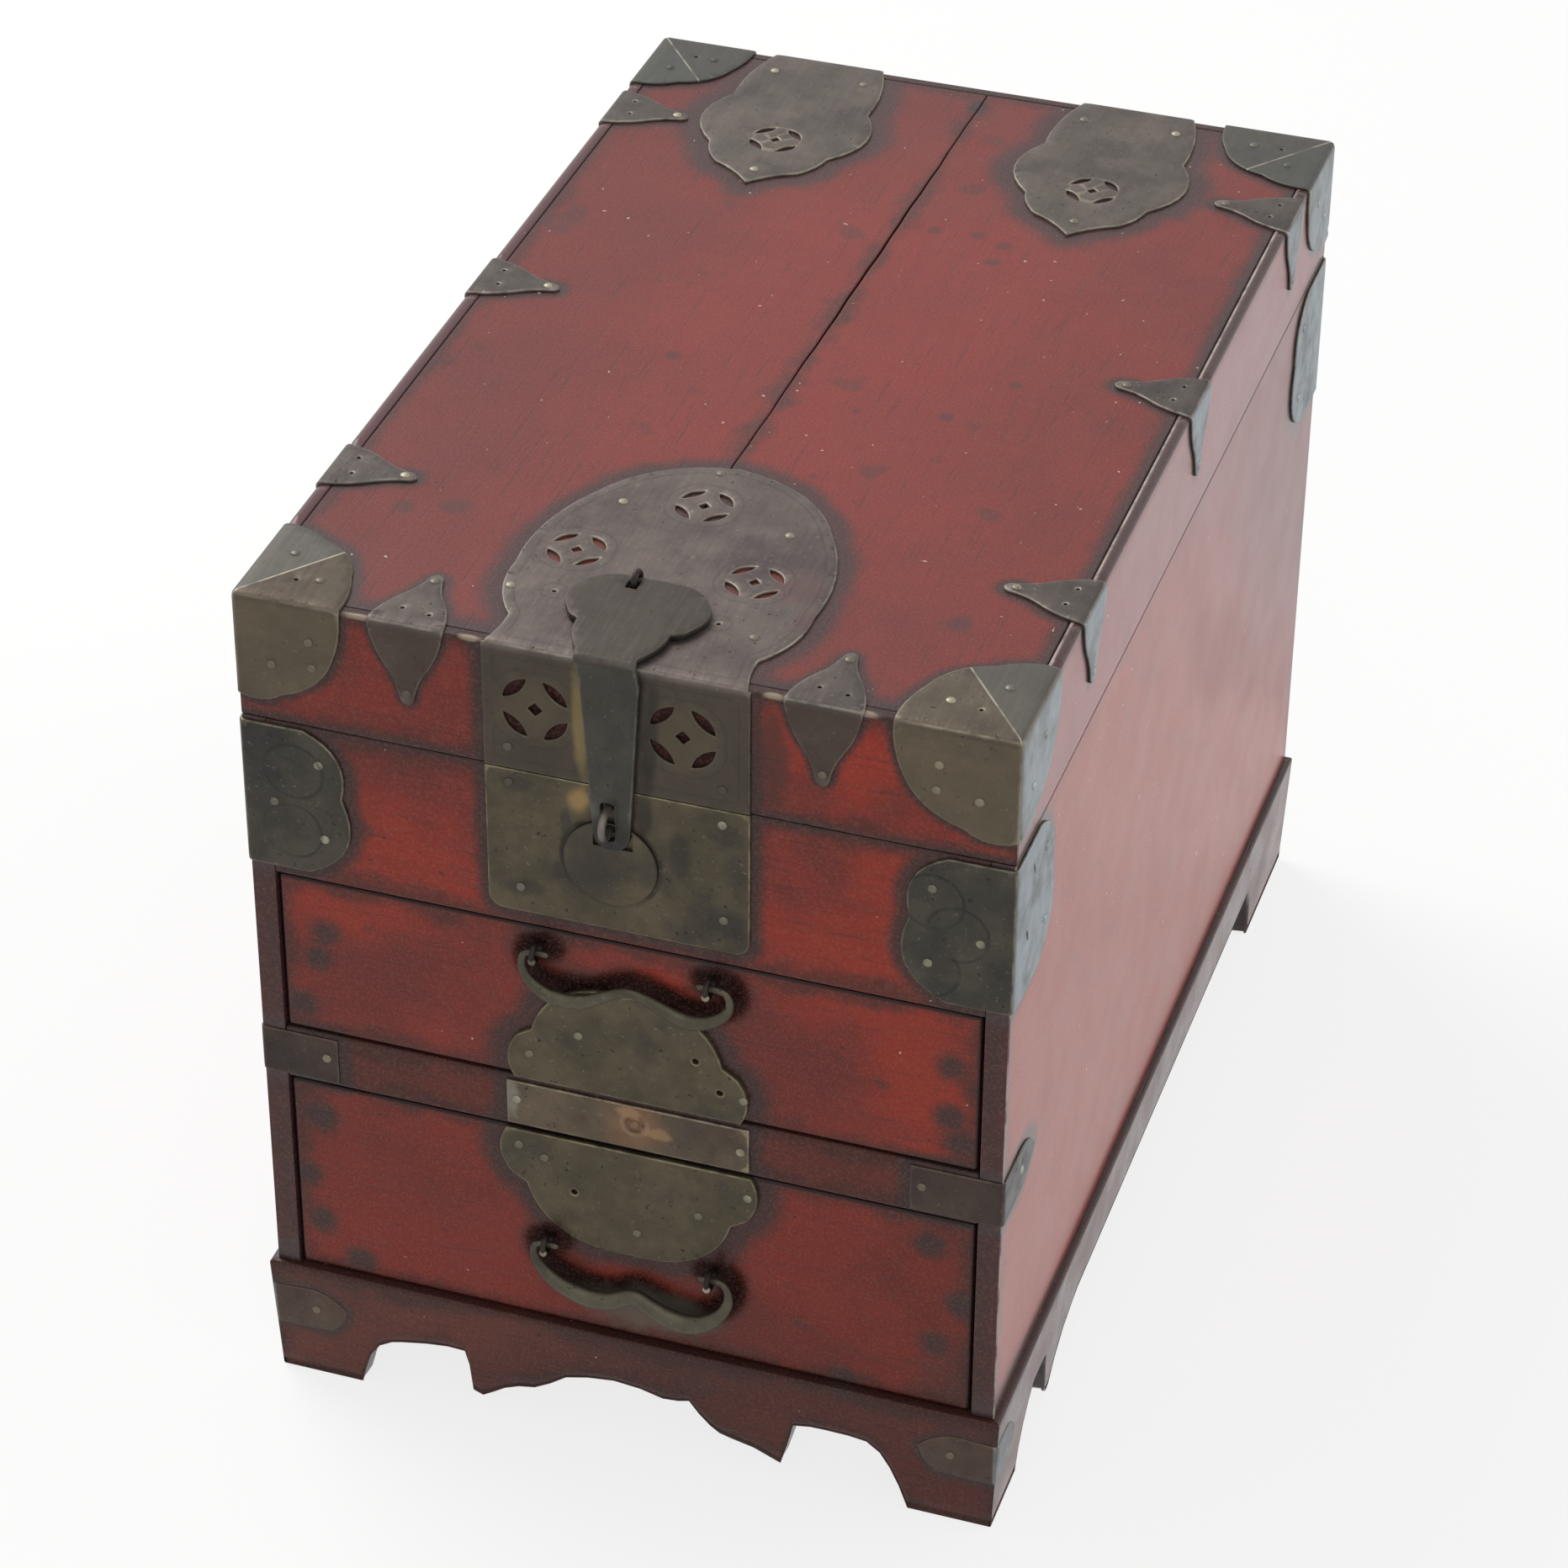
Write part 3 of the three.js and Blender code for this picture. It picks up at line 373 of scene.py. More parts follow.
def flank_shade(tree, under):
    """Orange-red below a slanting line and greyer lavender above it, a painted reflection of the pale room,
    with painted shade towards the back, the dark smear along the line, fine slanting streaks, a paler top and
    a lavender front strip, both painted reflection, all plainer on the left flank. Painted shade on the inner
    faces beside the drawers, a brown front end."""
    depth, slant, smear = flank_marks(tree)
    drift = node_in(tree, "ShaderNodeCombineXYZ", {0: slant, 1: times(depth, 0.12)}).outputs[0]
    streaks = node_in(tree, "ShaderNodeTexNoise", {"Vector": drift, "Scale": 130.0, "Detail": 4.0}).outputs[0]
    above = step_up(slant, 0.145, 0.23, 0.85)
    x, y, z = axes_of(tree)
    inner_face = times(step_up(maths("ABSOLUTE", x), 0.0935, 0.0915, 0.92), step_up(z, 0.164, 0.158))
    for share, over in (
            # Painted reflection of the pale room: lavender above the slanting line, and painted shade towards
            # the back.
            (above, (123, 58, 62)),
            (times(step_up(depth, 0.02, 0.13, 0.8), above), (103, 44, 50)),
            (times(smear, 0.4), (112, 38, 32)),
            (step_up(streaks, 0.54, 0.72, 0.35), (108, 48, 44)),
            # Painted reflection: paler along the top.
            (step_up(z, 0.199, 0.208, 0.8), (134, 77, 80)),
            (step_up(x, 0.01, -0.01, 0.85), (132, 43, 31)),
            # Painted shade on the inner faces beside the drawers.
            (inner_face, (44, 26, 21)),
            # Painted reflection: a lavender strip along the front edge.
            (step_up(depth, -0.144, -0.1495, 0.5), (108, 76, 84)),
            (step_up(y, FRONT_Y + 0.0009, FRONT_Y + 0.0004, 0.9), (58, 31, 26))):
        under = laid_over(share, under, over)
    return under


side_lacquer = lacquer("side_lacquer", "Y", (147, 51, 31), (137, 48, 33), DARK_EDGE, (62, 50, 50), 0.315,
                       0.24, 0.3, 0.25, flank_shade)
side_tree = side_lacquer.node_tree
side_shader = side_tree.nodes["Principled BSDF"]
side_gloss = side_shader.inputs["Specular IOR Level"].links[0].from_socket
depth, slant, smear = flank_marks(side_tree)
matt = times(step_up(smear, 0.0, 1.0, 0.68, 1.0), step_up(depth, -0.06, 0.09, 0.82, 0.96))
matt = times(matt, step_up(slant, 0.145, 0.23, 1.06, 0.955))
fed(side_shader, {"Specular IOR Level": times(side_gloss, matt)})
rail_lacquer = lacquer("rail_lacquer", "X", (94, 39, 31), (78, 36, 30), DARK_EDGE, GREY_STAIN, 0.2)
upright_lacquer = lacquer("upright_lacquer", "Z", RED, DEEP_RED, DARK_EDGE, GREY_STAIN)


def wait_for_stain(name, points, faces, body, material, node, arris, gap=0.0, slot="lacquer", first=0.0):
    """A lacquered board in place of a CAD board, kept for the last section with its first stain."""
    blank = 0 * arris
    board = piece_of(name, points, faces, body, material, slot, [node], arris=arris, stain=blank, soot=blank,
                     gap=gap + blank)
    lacquered.append((board, points, first + blank))


def lacquered_board(name, low, high, body, material, node, gap=0.0, radius=ARRIS, foot=0.0, head=0.0):
    """A rounded board, whose arrises gap darkens with a painted shade where they border an opening. A painted
    shade darkens its foot 3 mm high, more near the front, where the base's ledge shades it, and dirt stains
    its head 4.5 mm down, by the shares that foot and head give."""
    points, faces, arris = rounded_board(low, high, radius)
    # A painted shade at the foot, under the base's ledge, and dirt along the head.
    climb = 3.0 + 8.0 * np.clip((-80 - points[:, 1]) / 60, 0, 1)
    grime_and_shade = np.maximum(foot * np.clip(1 - (points[:, 2] - low[2]) / climb, 0, 1),
                       head * np.clip(1 - (high[2] - points[:, 2]) / 4.5, 0, 1))
    wait_for_stain(name, points, faces, body, material, node, arris, gap, first=grime_and_shade)


for name, side in SIDES:
    near, far = sorted((side * HALF_WIDTH, side * (HALF_WIDTH - CASE_BOARD)))
    lacquered_board("case_side_" + name, (near, -HALF_DEPTH, BASE_TOP), (far, HALF_DEPTH, CASE_TOP),
                    "carcass", side_lacquer, "side_" + name, radius=0.3, foot=1.2)
inner = HALF_WIDTH - CASE_BOARD
lacquered_board("case_back", (-inner, HALF_DEPTH - CASE_BOARD, BASE_TOP), (inner, HALF_DEPTH, CASE_TOP),
                "carcass", upright_lacquer, "back_panel", radius=0.45)
lacquered_board("case_front", (-inner, -HALF_DEPTH, UPPER_TOP), (inner, CASE_BOARD - HALF_DEPTH, CASE_TOP),
                "carcass", front_lacquer, "front_panel", radius=0.45, head=0.6)
lacquered_board("rail_front", (-inner, -HALF_DEPTH, LOWER_TOP), (inner, RAIL_BOARD - HALF_DEPTH, RAIL_TOP),
                "carcass", rail_lacquer, "drawer_rail")
for name, floor, ceiling in (("upper", RAIL_TOP, UPPER_TOP), ("lower", BASE_TOP, LOWER_TOP)):
    lacquered_board(name + "_front", (0.6 - inner, DRAWER_SET_BACK - HALF_DEPTH, floor + 0.3),
                    (inner - 0.6, DRAWER_BOARD - HALF_DEPTH, ceiling - 0.6), "drawer_" + name, front_lacquer,
                    name + "_drawer_front", 1.0, 1.1)
for x, z in ((-77, 143), (-79, 135), (-81, 85), (-82, 52), (81, 142), (81, 127), (77, 87), (79, 56), (56, 38),
             (-72, 41), (84, 120), (-84, 120), (85, 70), (-85, 66)):
    mark(haloes, x, z, 7.5)
patch(front_lacquer, (92, 87, 76), (5, BOARD_Y, 46), (24, 4, 9.5), 0.8, (0, -4, 0), 0.4, 0.3)

# Inside wood: the floors, the dust board, the bottom and the drawer boxes are bare planed softwood, gone
# brown with age. They are the CAD solids themselves, with a finish of long pale and dark growth rings.
bare, bare_tree, bare_shader = new_material("bare_softwood")
rings = cloud(bare_tree, 210, 4, 0.6, (1, 0.05, 0.6))
wood = laid_over(step_up(rings, 0.35, 0.68), (158, 122, 84), (112, 80, 52))
wood = laid_over(step_up(cloud(bare_tree, 30, 4), 0.4, 0.7, 0.5), wood, (92, 66, 46))
finished(bare_shader, wood, 0.75, rings, 0.25)
for node in ("compartment_floor", "divider_board", "bottom_board", "upper_drawer_walls",
             "upper_drawer_bottom", "lower_drawer_walls", "lower_drawer_bottom"):
    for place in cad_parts[node].material_slots:
        place.material = bare

# Base: four mitred boards, 9 mm thick, proud of the case and leaning in to the feet. The front one is sawn
# with two drop points between bracket feet, the side ones with a bracket and one drop point near the front.
BASE_BOARD, BASE_PROUD, BASE_LEAN = 9.0, 1.8, 1.5
MITRE_GAP = 0.15
base_lacquer = lacquer(
    "base_lacquer", "X", (94, 47, 39), (77, 40, 34), (46, 30, 27), (58, 44, 40), 0.2,
    shade=lambda tree, under: laid_over(step_up(axes_of(tree)[0], 0.0, 0.07, 0.6), under, (80, 33, 30)))
base_side_lacquer = lacquer("base_side_lacquer", "Y", (96, 58, 60), (80, 52, 54), (54, 40, 40), (58, 48, 50),
                            0.38, 0.28)


def wall(face):
    """The axis that a wall faces along, the axis that it runs along, its side, and half its run."""
    facing = 0 if face in ("left", "right") else 1
    return facing, 1 - facing, -1 if face in ("front", "left") else 1, (HALF_DEPTH, HALF_WIDTH)[facing]


def mitred_run(face, places, proud, level):
    """A closed profile (proud, level), one row for each place along a wall, cut at 45 degrees at both ends:
    along = place held within half + proud. Gives points and faces, with an end cap each."""
    facing, run, side, half = wall(face)
    rows, columns = proud.shape
    points = np.empty((rows, columns, 3))
    points[..., run] = np.clip(places[:, None], MITRE_GAP - half - proud, half + proud - MITRE_GAP)
    points[..., facing] = side * ((HALF_WIDTH, HALF_DEPTH)[facing] + proud)
    points[..., 2] = level
    turned = face in ("front", "right")
    faces = grid_faces(rows, columns + 1, turned=turned)
    flat = np.concatenate([points, points[:, :1]], 1).reshape(-1, 3)
    first, last = np.arange(columns), (rows - 1) * (columns + 1) + np.arange(columns)
    caps = [first if turned else first[::-1], last[::-1] if turned else last]
    points, faces = welded(flat, faces)
    lookup = {tuple(key): number for number, key in enumerate(np.round(points, 3).tolist())}
    for cap in caps:
        faces.append(list(dict.fromkeys(lookup[tuple(key)] for key in np.round(flat[cap], 3).tolist())))
    return points, faces


def base_board(face, foot_line, material):
    """The board's profile goes up its leaning outer face, over its top and down its inner face, from the
    sawn line of its underside, with every arris rounded."""
    _, run, _, half = wall(face)
    foot_line = np.array(foot_line, float)
    dense = np.arange(-half - BASE_PROUD, half + BASE_PROUD, 0.5)
    places = np.unique(np.round(np.concatenate([dense, foot_line[:, 0], [half + BASE_PROUD]]), 3))
    sawn = np.interp(places, *foot_line.T)[:, None]
    turn = np.linspace(0, np.pi / 2, 4)
    rise = np.linspace(0, 1, 13)[1:-1]
    climb, ease = ARRIS * np.sin(turn), ARRIS - ARRIS * np.cos(turn)
    inset = np.concatenate([ARRIS - climb[::-1], 0 * rise, ease,
                            BASE_BOARD - ARRIS + climb, BASE_BOARD + 0 * rise, BASE_BOARD - ease])
    up = np.concatenate([0 * turn, rise, 0 * turn + 1])
    share = np.concatenate([up, 1 - up])
    nudge = np.concatenate([ease[::-1], 0 * rise, climb - ARRIS, -ease, 0 * rise, ARRIS - climb])
    level = sawn + share * (BASE_TOP - sawn) + nudge
    proud = BASE_PROUD - inset - BASE_LEAN * (1 - level / BASE_TOP) * (inset < BASE_BOARD / 2)
    points, faces = mitred_run(face, places, proud, level)
    line = np.interp(points[:, run], *foot_line.T)
    arris = np.minimum(np.abs(points[:, 2] - line), np.abs(BASE_TOP - points[:, 2]))
    arris = np.minimum(arris, half + BASE_PROUD - np.abs(points[:, run]))
    wait_for_stain("base_board_" + face, points, faces, "carcass", material, "base_" + face, arris,
                   slot="dark_lacquer")


FRONT_FOOT_LINE = [
    (-97, 0), (-73.5, 0), (-72.2, 5), (-70.6, 10), (-68, 14), (-64.5, 16.2), (-61.8, 17), (-55, 18.5),
    (-49, 19.3), (-44.3, 19.1), (-43.2, 14.5), (-42.5, 6.1), (-40, 5), (-37, 7), (-34, 9.2), (-30, 11),
    (-25.7, 11.9), (-21.5, 14.5), (-17, 18), (-11, 19.7), (-4, 20.7), (3, 20), (9, 18.4), (13, 18.8),
    (16, 19.7), (18.6, 16), (21.5, 12.8), (24, 10.9), (27, 10), (33, 8.6), (40, 5.4), (41.8, 12),
    (43.5, 19.5), (48, 20.4), (52, 20.5), (58, 20.4), (62.7, 19.8), (66.2, 17), (68.8, 12.6), (71.2, 7),
    (73.5, 0), (97, 0)]
SIDE_FOOT_LINE = [
    (-152, 0), (-129, 0), (-127.4, 7), (-124.6, 12.6), (-121, 17), (-117, 20.2), (-111, 20), (-105.8, 19.4),
    (-104.8, 12), (-103.5, 6.1), (-101.5, 4), (-99.7, 4.3), (-95, 9.6), (-88, 14), (-80, 16.4), (-75, 17.3),
    (0, 17.7), (105, 18), (108.5, 12), (110.3, 6), (111, 0), (152, 0)]
BACK_FOOT_LINE = [(-97, 0), (-73.1, 0), (-71.8, 7), (-69.6, 13), (-66.5, 18), (0, 18), (66.5, 18), (69.6, 13),
                  (71.8, 7), (73.1, 0), (97, 0)]
base_board("front", FRONT_FOOT_LINE, base_lacquer)
base_board("back", BACK_FOOT_LINE, base_lacquer)
base_board("left", SIDE_FOOT_LINE, base_side_lacquer)
base_board("right", SIDE_FOOT_LINE, base_side_lacquer)

# Lid: four mitred rims round a top of two boards, with an open shrinkage crack between the boards. The side
# rims rise in a thin worn bead that fades out at each fitting.
LID_BOTTOM, LID_TOP, LID_LIP, PANEL_BOARD, BEAD_RISE = 203.75, 237.4, 3.2, 5.0, 0.68
LID_LEVEL = LID_TOP / 1000
SIDE_CLIPS = (-90.0, 7.5, 106.5)
CLIP_HALF = 9.5
RIM_Y, EDGE_LEVEL = -149.8, LID_TOP - 0.1
BEAD_START, BEAD_END, BEAD_FADE = -118, 121, 2.5
SEAM_GRIME = 4.5


def off(value, middle):
    """How far a value is from its middle: abs(value - middle)."""
    return maths("ABSOLUTE", maths("SUBTRACT", value, middle))


# The bead of the side rims and the front arris of the box's sides carry a broken pale line, a painted
# highlight, and the left bead has a painted dull sheen.
x, y, z = axes_of(side_tree)
on_bead = step_up(z, LID_LEVEL - 0.0008, LID_LEVEL - 0.0002)
bead_line = times(step_up(off(x, 0.0923), 0.0007, 0.0003), on_bead)
edge_line = times(step_up(x, 0.09455, 0.0948), step_up(y, FRONT_Y + 0.00045, FRONT_Y + 0.0002))
# Breaks up the painted highlight along its length.
worn = step_up(cloud(side_tree, 130, 3, 0.6, offset=(2, 8, 5)), 0.36, 0.6, 0.75, 0.2)
film(times(maths("MAXIMUM", bead_line, edge_line), worn), 186, 172, 164)
film(times(step_up(off(x, -0.0928), 0.0016, 0.0009, 0.6), on_bead), 112, 82, 86)


def lid_shade(tree, under):
    """Painted light and shade: brighter over its middle, and darker towards its left and its back, where the
    window lights it most.
    """
    under = laid_over(step_up(axes_of(tree)[0], -0.01, -0.08, 0.35), under, (92, 36, 34))
    under = laid_over(step_up(axes_of(tree)[1], 0.05, 0.13, 0.25), under, (92, 36, 34))
    middle = blob(tree, (8, -5, LID_TOP), (80, 150, 40), 0.42, fray=0.25, core=0.3)
    return laid_over(middle, under, (138, 47, 38))


lid_lacquer = lacquer("lid_lacquer", "Y", (117, 44, 39), (101, 40, 38), (56, 36, 36), (56, 44, 45), 0.26,
                      0.36, 0.75, shade=lid_shade)
for x, y, size in ((-60, -98, 5), (8, 69, 2.6), (19.5, 70, 2.6), (27.5, 66.5, 3.2), (27, 57.5, 2.8),
                   (38.3, -20.6, 2.8), (50, -0.3, 2.4), (16.4, -25, 1.8), (16, -57.4, 1.8), (-35, -14, 3),
                   (68, -108, 5), (-72, -102, 4)):
    patch(lid_lacquer, (70, 48, 50), (x, y, LID_TOP), (size, size, 4), 0.6)
patch(lid_lacquer, (52, 42, 42), (-1.3, 140, LID_TOP), (3.2, 5, 4), 0.8, fray=0.9)
rim_lacquer = lacquer("lid_rim_lacquer", "X", (149, 45, 28), DEEP_RED, DARK_EDGE, GREY_STAIN, 0.23)
patch(rim_lacquer, (62, 42, 37), (37, RIM_Y, 220), (6, 3, 19), 0.7)
for x, half in ((-64, 4.5), (-36.4, 4), (37, 3.5), (59, 4.5), (-82, 1.5), (70, 2)):
    patch(rim_lacquer, (168, 150, 132), (x, RIM_Y, EDGE_LEVEL), (half, 1.6, 1.1), 0.75)


def lid_rim(face, material, node):
    """Its section goes up the outer face, over the top with the bead as a half sine, down the lip, out along
    the rebate and down the inner face, with round arrises. The bead's rise fades beside the fittings."""
    facing, _, _, half = wall(face)
    beaded = face in ("left", "right")
    places = np.arange(-half, half + 0.1, 1.25)
    turn = np.linspace(0, np.pi / 2, 5)[1:]
    climb = np.linspace(LID_BOTTOM + 0.5, LID_TOP - ARRIS, 14)
    across = np.linspace(0, 1, 10)[1:]
    rebate = LID_TOP - PANEL_BOARD
    inset = np.concatenate([[0.2, 0.05], 0 * climb, ARRIS - ARRIS * np.cos(turn),
                            ARRIS + across * (LID_LIP - ARRIS - 0.3),
                            [LID_LIP, LID_LIP, CASE_BOARD, CASE_BOARD]])
    level = np.concatenate([[LID_BOTTOM, LID_BOTTOM + 0.05], climb, LID_TOP - ARRIS + ARRIS * np.sin(turn),
                            LID_TOP + 0 * across, [LID_TOP - 0.4, rebate, rebate, LID_BOTTOM]])
    bead = np.sin(np.pi * np.clip(inset / LID_LIP, 0, 1)) * (level > LID_TOP - ARRIS / 2)
    from_clips = np.min(np.abs(places[:, None] - SIDE_CLIPS), 1) - CLIP_HALF
    free = np.minimum(from_clips, np.minimum(places - BEAD_START, BEAD_END - places))
    level = level + beaded * BEAD_RISE * np.clip(free / BEAD_FADE, 0, 1)[:, None] * bead
    points, faces = mitred_run(face, places, 0 * level - inset, level)
    out = (HALF_WIDTH, HALF_DEPTH)[facing] - np.abs(points[:, facing])
    arris = np.maximum(LID_TOP - points[:, 2], out)
    arris = np.minimum(arris, np.maximum(points[:, 2] - LID_BOTTOM, out))
    on_top = (0.75, 1.0)[beaded] * (points[:, 2] > LID_TOP - 0.5)
    along_seam = (face == "front") * 0.6 * np.clip(1 - (points[:, 2] - LID_BOTTOM) / SEAM_GRIME, 0, 1)
    wait_for_stain("lid_rim_" + face, points, faces, "lid", material, node, arris,
                   first=np.maximum(on_top, along_seam))


lid_rim("front", rim_lacquer, "lid_front_board")
lid_rim("back", rim_lacquer, "lid_back_board")
lid_rim("left", side_lacquer, "lid_side_left")
lid_rim("right", side_lacquer, "lid_side_right")

# The top's boards: rounded boards whose inner edges follow the crack, x = outer + share * (crack(y) - outer).
PANEL_GAP = 0.15
CRACK_X, CRACK_HALF, CRACK_FRONT, CRACK_DRIFT = -2.9, 0.25, -5.0, 4.2
for name, side in SIDES:
    outer = side * (HALF_WIDTH - LID_LIP - PANEL_GAP)
    middle = CRACK_X + side * CRACK_HALF
    reach = HALF_DEPTH - LID_LIP - PANEL_GAP
    low, high = sorted((outer, middle))
    points, faces, arris = rounded_board((low, -reach, LID_TOP - PANEL_BOARD), (high, reach, LID_TOP), 0.45)
    y = points[:, 1]
    crack = CRACK_FRONT + CRACK_DRIFT * (y + reach) / (2 * reach)
    crack = crack + 0.09 * np.sin(y / 7) + 0.06 * np.sin(y / 2.7 + 1) + side * (0.18 + 0.08 * np.sin(y / 31))
    points[:, 0] = outer + (points[:, 0] - outer) / (middle - outer) * (crack - outer)
    worn = (0.75 if side > 0 else 0.45) * np.clip(1 - side * (outer - points[:, 0]) / 6.0, 0, 1)
    worn = np.maximum(worn, 0.85 * np.clip(1 - (y + reach) / 8.0, 0, 1))
    wait_for_stain("lid_top_" + name, points, faces, "lid", lid_lacquer, "lid_panel_" + name, arris + 1,
                   first=worn)

# Brass plates: sheet 0.8 mm thick, sawn to lobed outlines, pierced, folded over the edges and nailed down with
# small round heads. The brass has gone olive and grey-brown, and is lighter at rims and folds, partly worn and
# partly a painted highlight.
SHEET = 0.8
FOLD_STEPS = ARRIS * np.array([-1, -0.5, 0, 0.5, 1])
FAR_FROM_RIM = 3.0


def unit(vectors):
    """Each vector over its own length."""
    return vectors / np.maximum(np.linalg.norm(vectors, axis=-1, keepdims=True), 1e-9)


def drawn(corners, across=1.0, along=1.0, steps=8):
    """A closed line through corners (u, v, rise): the side from one corner to the next is a quadratic arc
    whose middle stands out to the right by rise times its length."""
    corners = np.array([(*corner, 0)[:3] for corner in corners], float) * (across, along, 1)
    here, ahead = corners[:, :2], np.roll(corners, -1, 0)[:, :2]
    way = ahead - here
    bend = (here + ahead) / 2 + 2 * corners[:, 2:] * np.stack([way[:, 1], -way[:, 0]], 1)
    t = np.linspace(0, 1, steps, endpoint=False)[:, None]
    arcs = (1 - t) ** 2 * here[:, None] + 2 * t * (1 - t) * bend[:, None] + t ** 2 * ahead[:, None]
    return arcs.reshape(-1, 2)


def both_halves(half):
    """The whole of an outline that is given as its right half, from its foot to its tip."""
    far = [(-u, v, half[i - 1][2] if i else 0) for i, (u, v, _) in enumerate(half)][::-1]
    near = half[:-1] if half[-1][0] == 0 else half
    return list(near) + (far[:-1] if half[0][0] == 0 else far)


def leaf(half, across, along):
    """The line of an outline given as its right half, left open at its straight foot."""
    return drawn(both_halves(half), across, along)[:-7]


def evened(line, step=0.7):
    """The same closed line with points added on it, so that no side is longer than the step."""
    way = np.roll(line, -1, 0) - line
    counts = np.ceil(np.linalg.norm(way, axis=1) / step).astype(int).clip(1)
    owner = np.repeat(np.arange(len(line)), counts)
    share = (np.arange(counts.sum()) - np.repeat(np.cumsum(counts) - counts, counts)) / counts[owner]
    return line[owner] + share[:, None] * way[owner]


def area_of(line):
    """Positive for a line that runs counterclockwise."""
    ahead = np.roll(line, -1, 0)
    return np.sum(line[:, 0] * ahead[:, 1] - ahead[:, 0] * line[:, 1]) / 2


def moved_in(line, reach):
    """Each point of a closed line goes to its left, so that both its sides move by the reach."""
    sides = [unit(line - np.roll(line, 1, 0)), unit(np.roll(line, -1, 0) - line)]
    mean = sum(np.stack([-side[:, 1], side[:, 0]], 1) for side in sides)
    return line + reach * 2 * mean / np.maximum(np.sum(mean ** 2, 1, keepdims=True), 0.8)


def within(points, loops):
    """True where a ray from the point crosses the first closed line an odd number of times, and every other
    one an even number."""
    x, y = points[:, :1], points[:, 1:]
    kept = np.ones(len(points), bool)
    for number, line in enumerate(loops):
        ahead = np.roll(line, -1, 0)
        rise = ahead[:, 1] - line[:, 1]
        slope = (ahead[:, 0] - line[:, 0]) / np.where(rise == 0, 1, rise)
        crosses = ((line[:, 1] > y) != (ahead[:, 1] > y)) & (line[:, 0] + slope * (y - line[:, 1]) > x)
        kept &= crosses.sum(1) % 2 == (number == 0)
    return kept


def nearest(points, others, chunk=4000):
    """Each point's distance from the nearest of the others."""
    parts = [np.sqrt(((part[:, None] - others) ** 2).sum(-1).min(1))
             for part in np.array_split(points, max(1, len(points) // chunk + 1))]
    return np.concatenate(parts)


def round_hole(u, v, radius=0.55):
    """A small nail hole that lost its nail."""
    turn = np.linspace(0, 2 * np.pi, 10, endpoint=False)
    return np.stack([u + radius * np.cos(turn), v + radius * np.sin(turn)], 1)


def coin(u, v, radius=7.5):
    """The four petals and the middle diamond of a coin, as holes: each petal lies between two arcs."""
    holes = []
    for middle in np.pi / 4 * np.array([1, 3, 5, 7]):
        turn = middle + np.pi * 0.17 * np.array([-1, 1])
        ends = radius * 0.9 * np.stack([np.cos(turn), np.sin(turn)], 1)
        t = np.linspace(0, 1, 9)[:, None]
        way = radius * np.array([np.cos(middle), np.sin(middle)])
        arcs = [(1 - t) ** 2 * start + 2 * t * (1 - t) * pull * way + t ** 2 * stop
                for start, pull, stop in ((ends[0], 1.12, ends[1]), (ends[1], 0.5, ends[0]))]
        holes.append(np.concatenate([arc[:-1] for arc in arcs]) + (u, v))
    return holes + [evened(0.2 * radius * np.array([[1, 0], [0, 1], [-1, 0], [0, -1]]) + (u, v), 0.4)]


def wrapped(sharp, height, box, radius=ARRIS):
    """A drawing laid on the sharp box goes out to a height over the box with round arrises:
    core + (radius + height) * unit(sharp - core), where core is the point held a radius inside."""
    limit = np.array(box, float) - radius
    core = np.clip(sharp, limit * (-1, -1, -1e6), limit)
    return core + (radius + height)[:, None] * unit(sharp - core)


def shell(points, faces, rim=FAR_FROM_RIM, head=0.0):
    """A surface whose points carry their distance from a rim, and 1 on a nail's head."""
    blank = np.zeros(len(points))
    return points, faces, blank + rim, blank + head


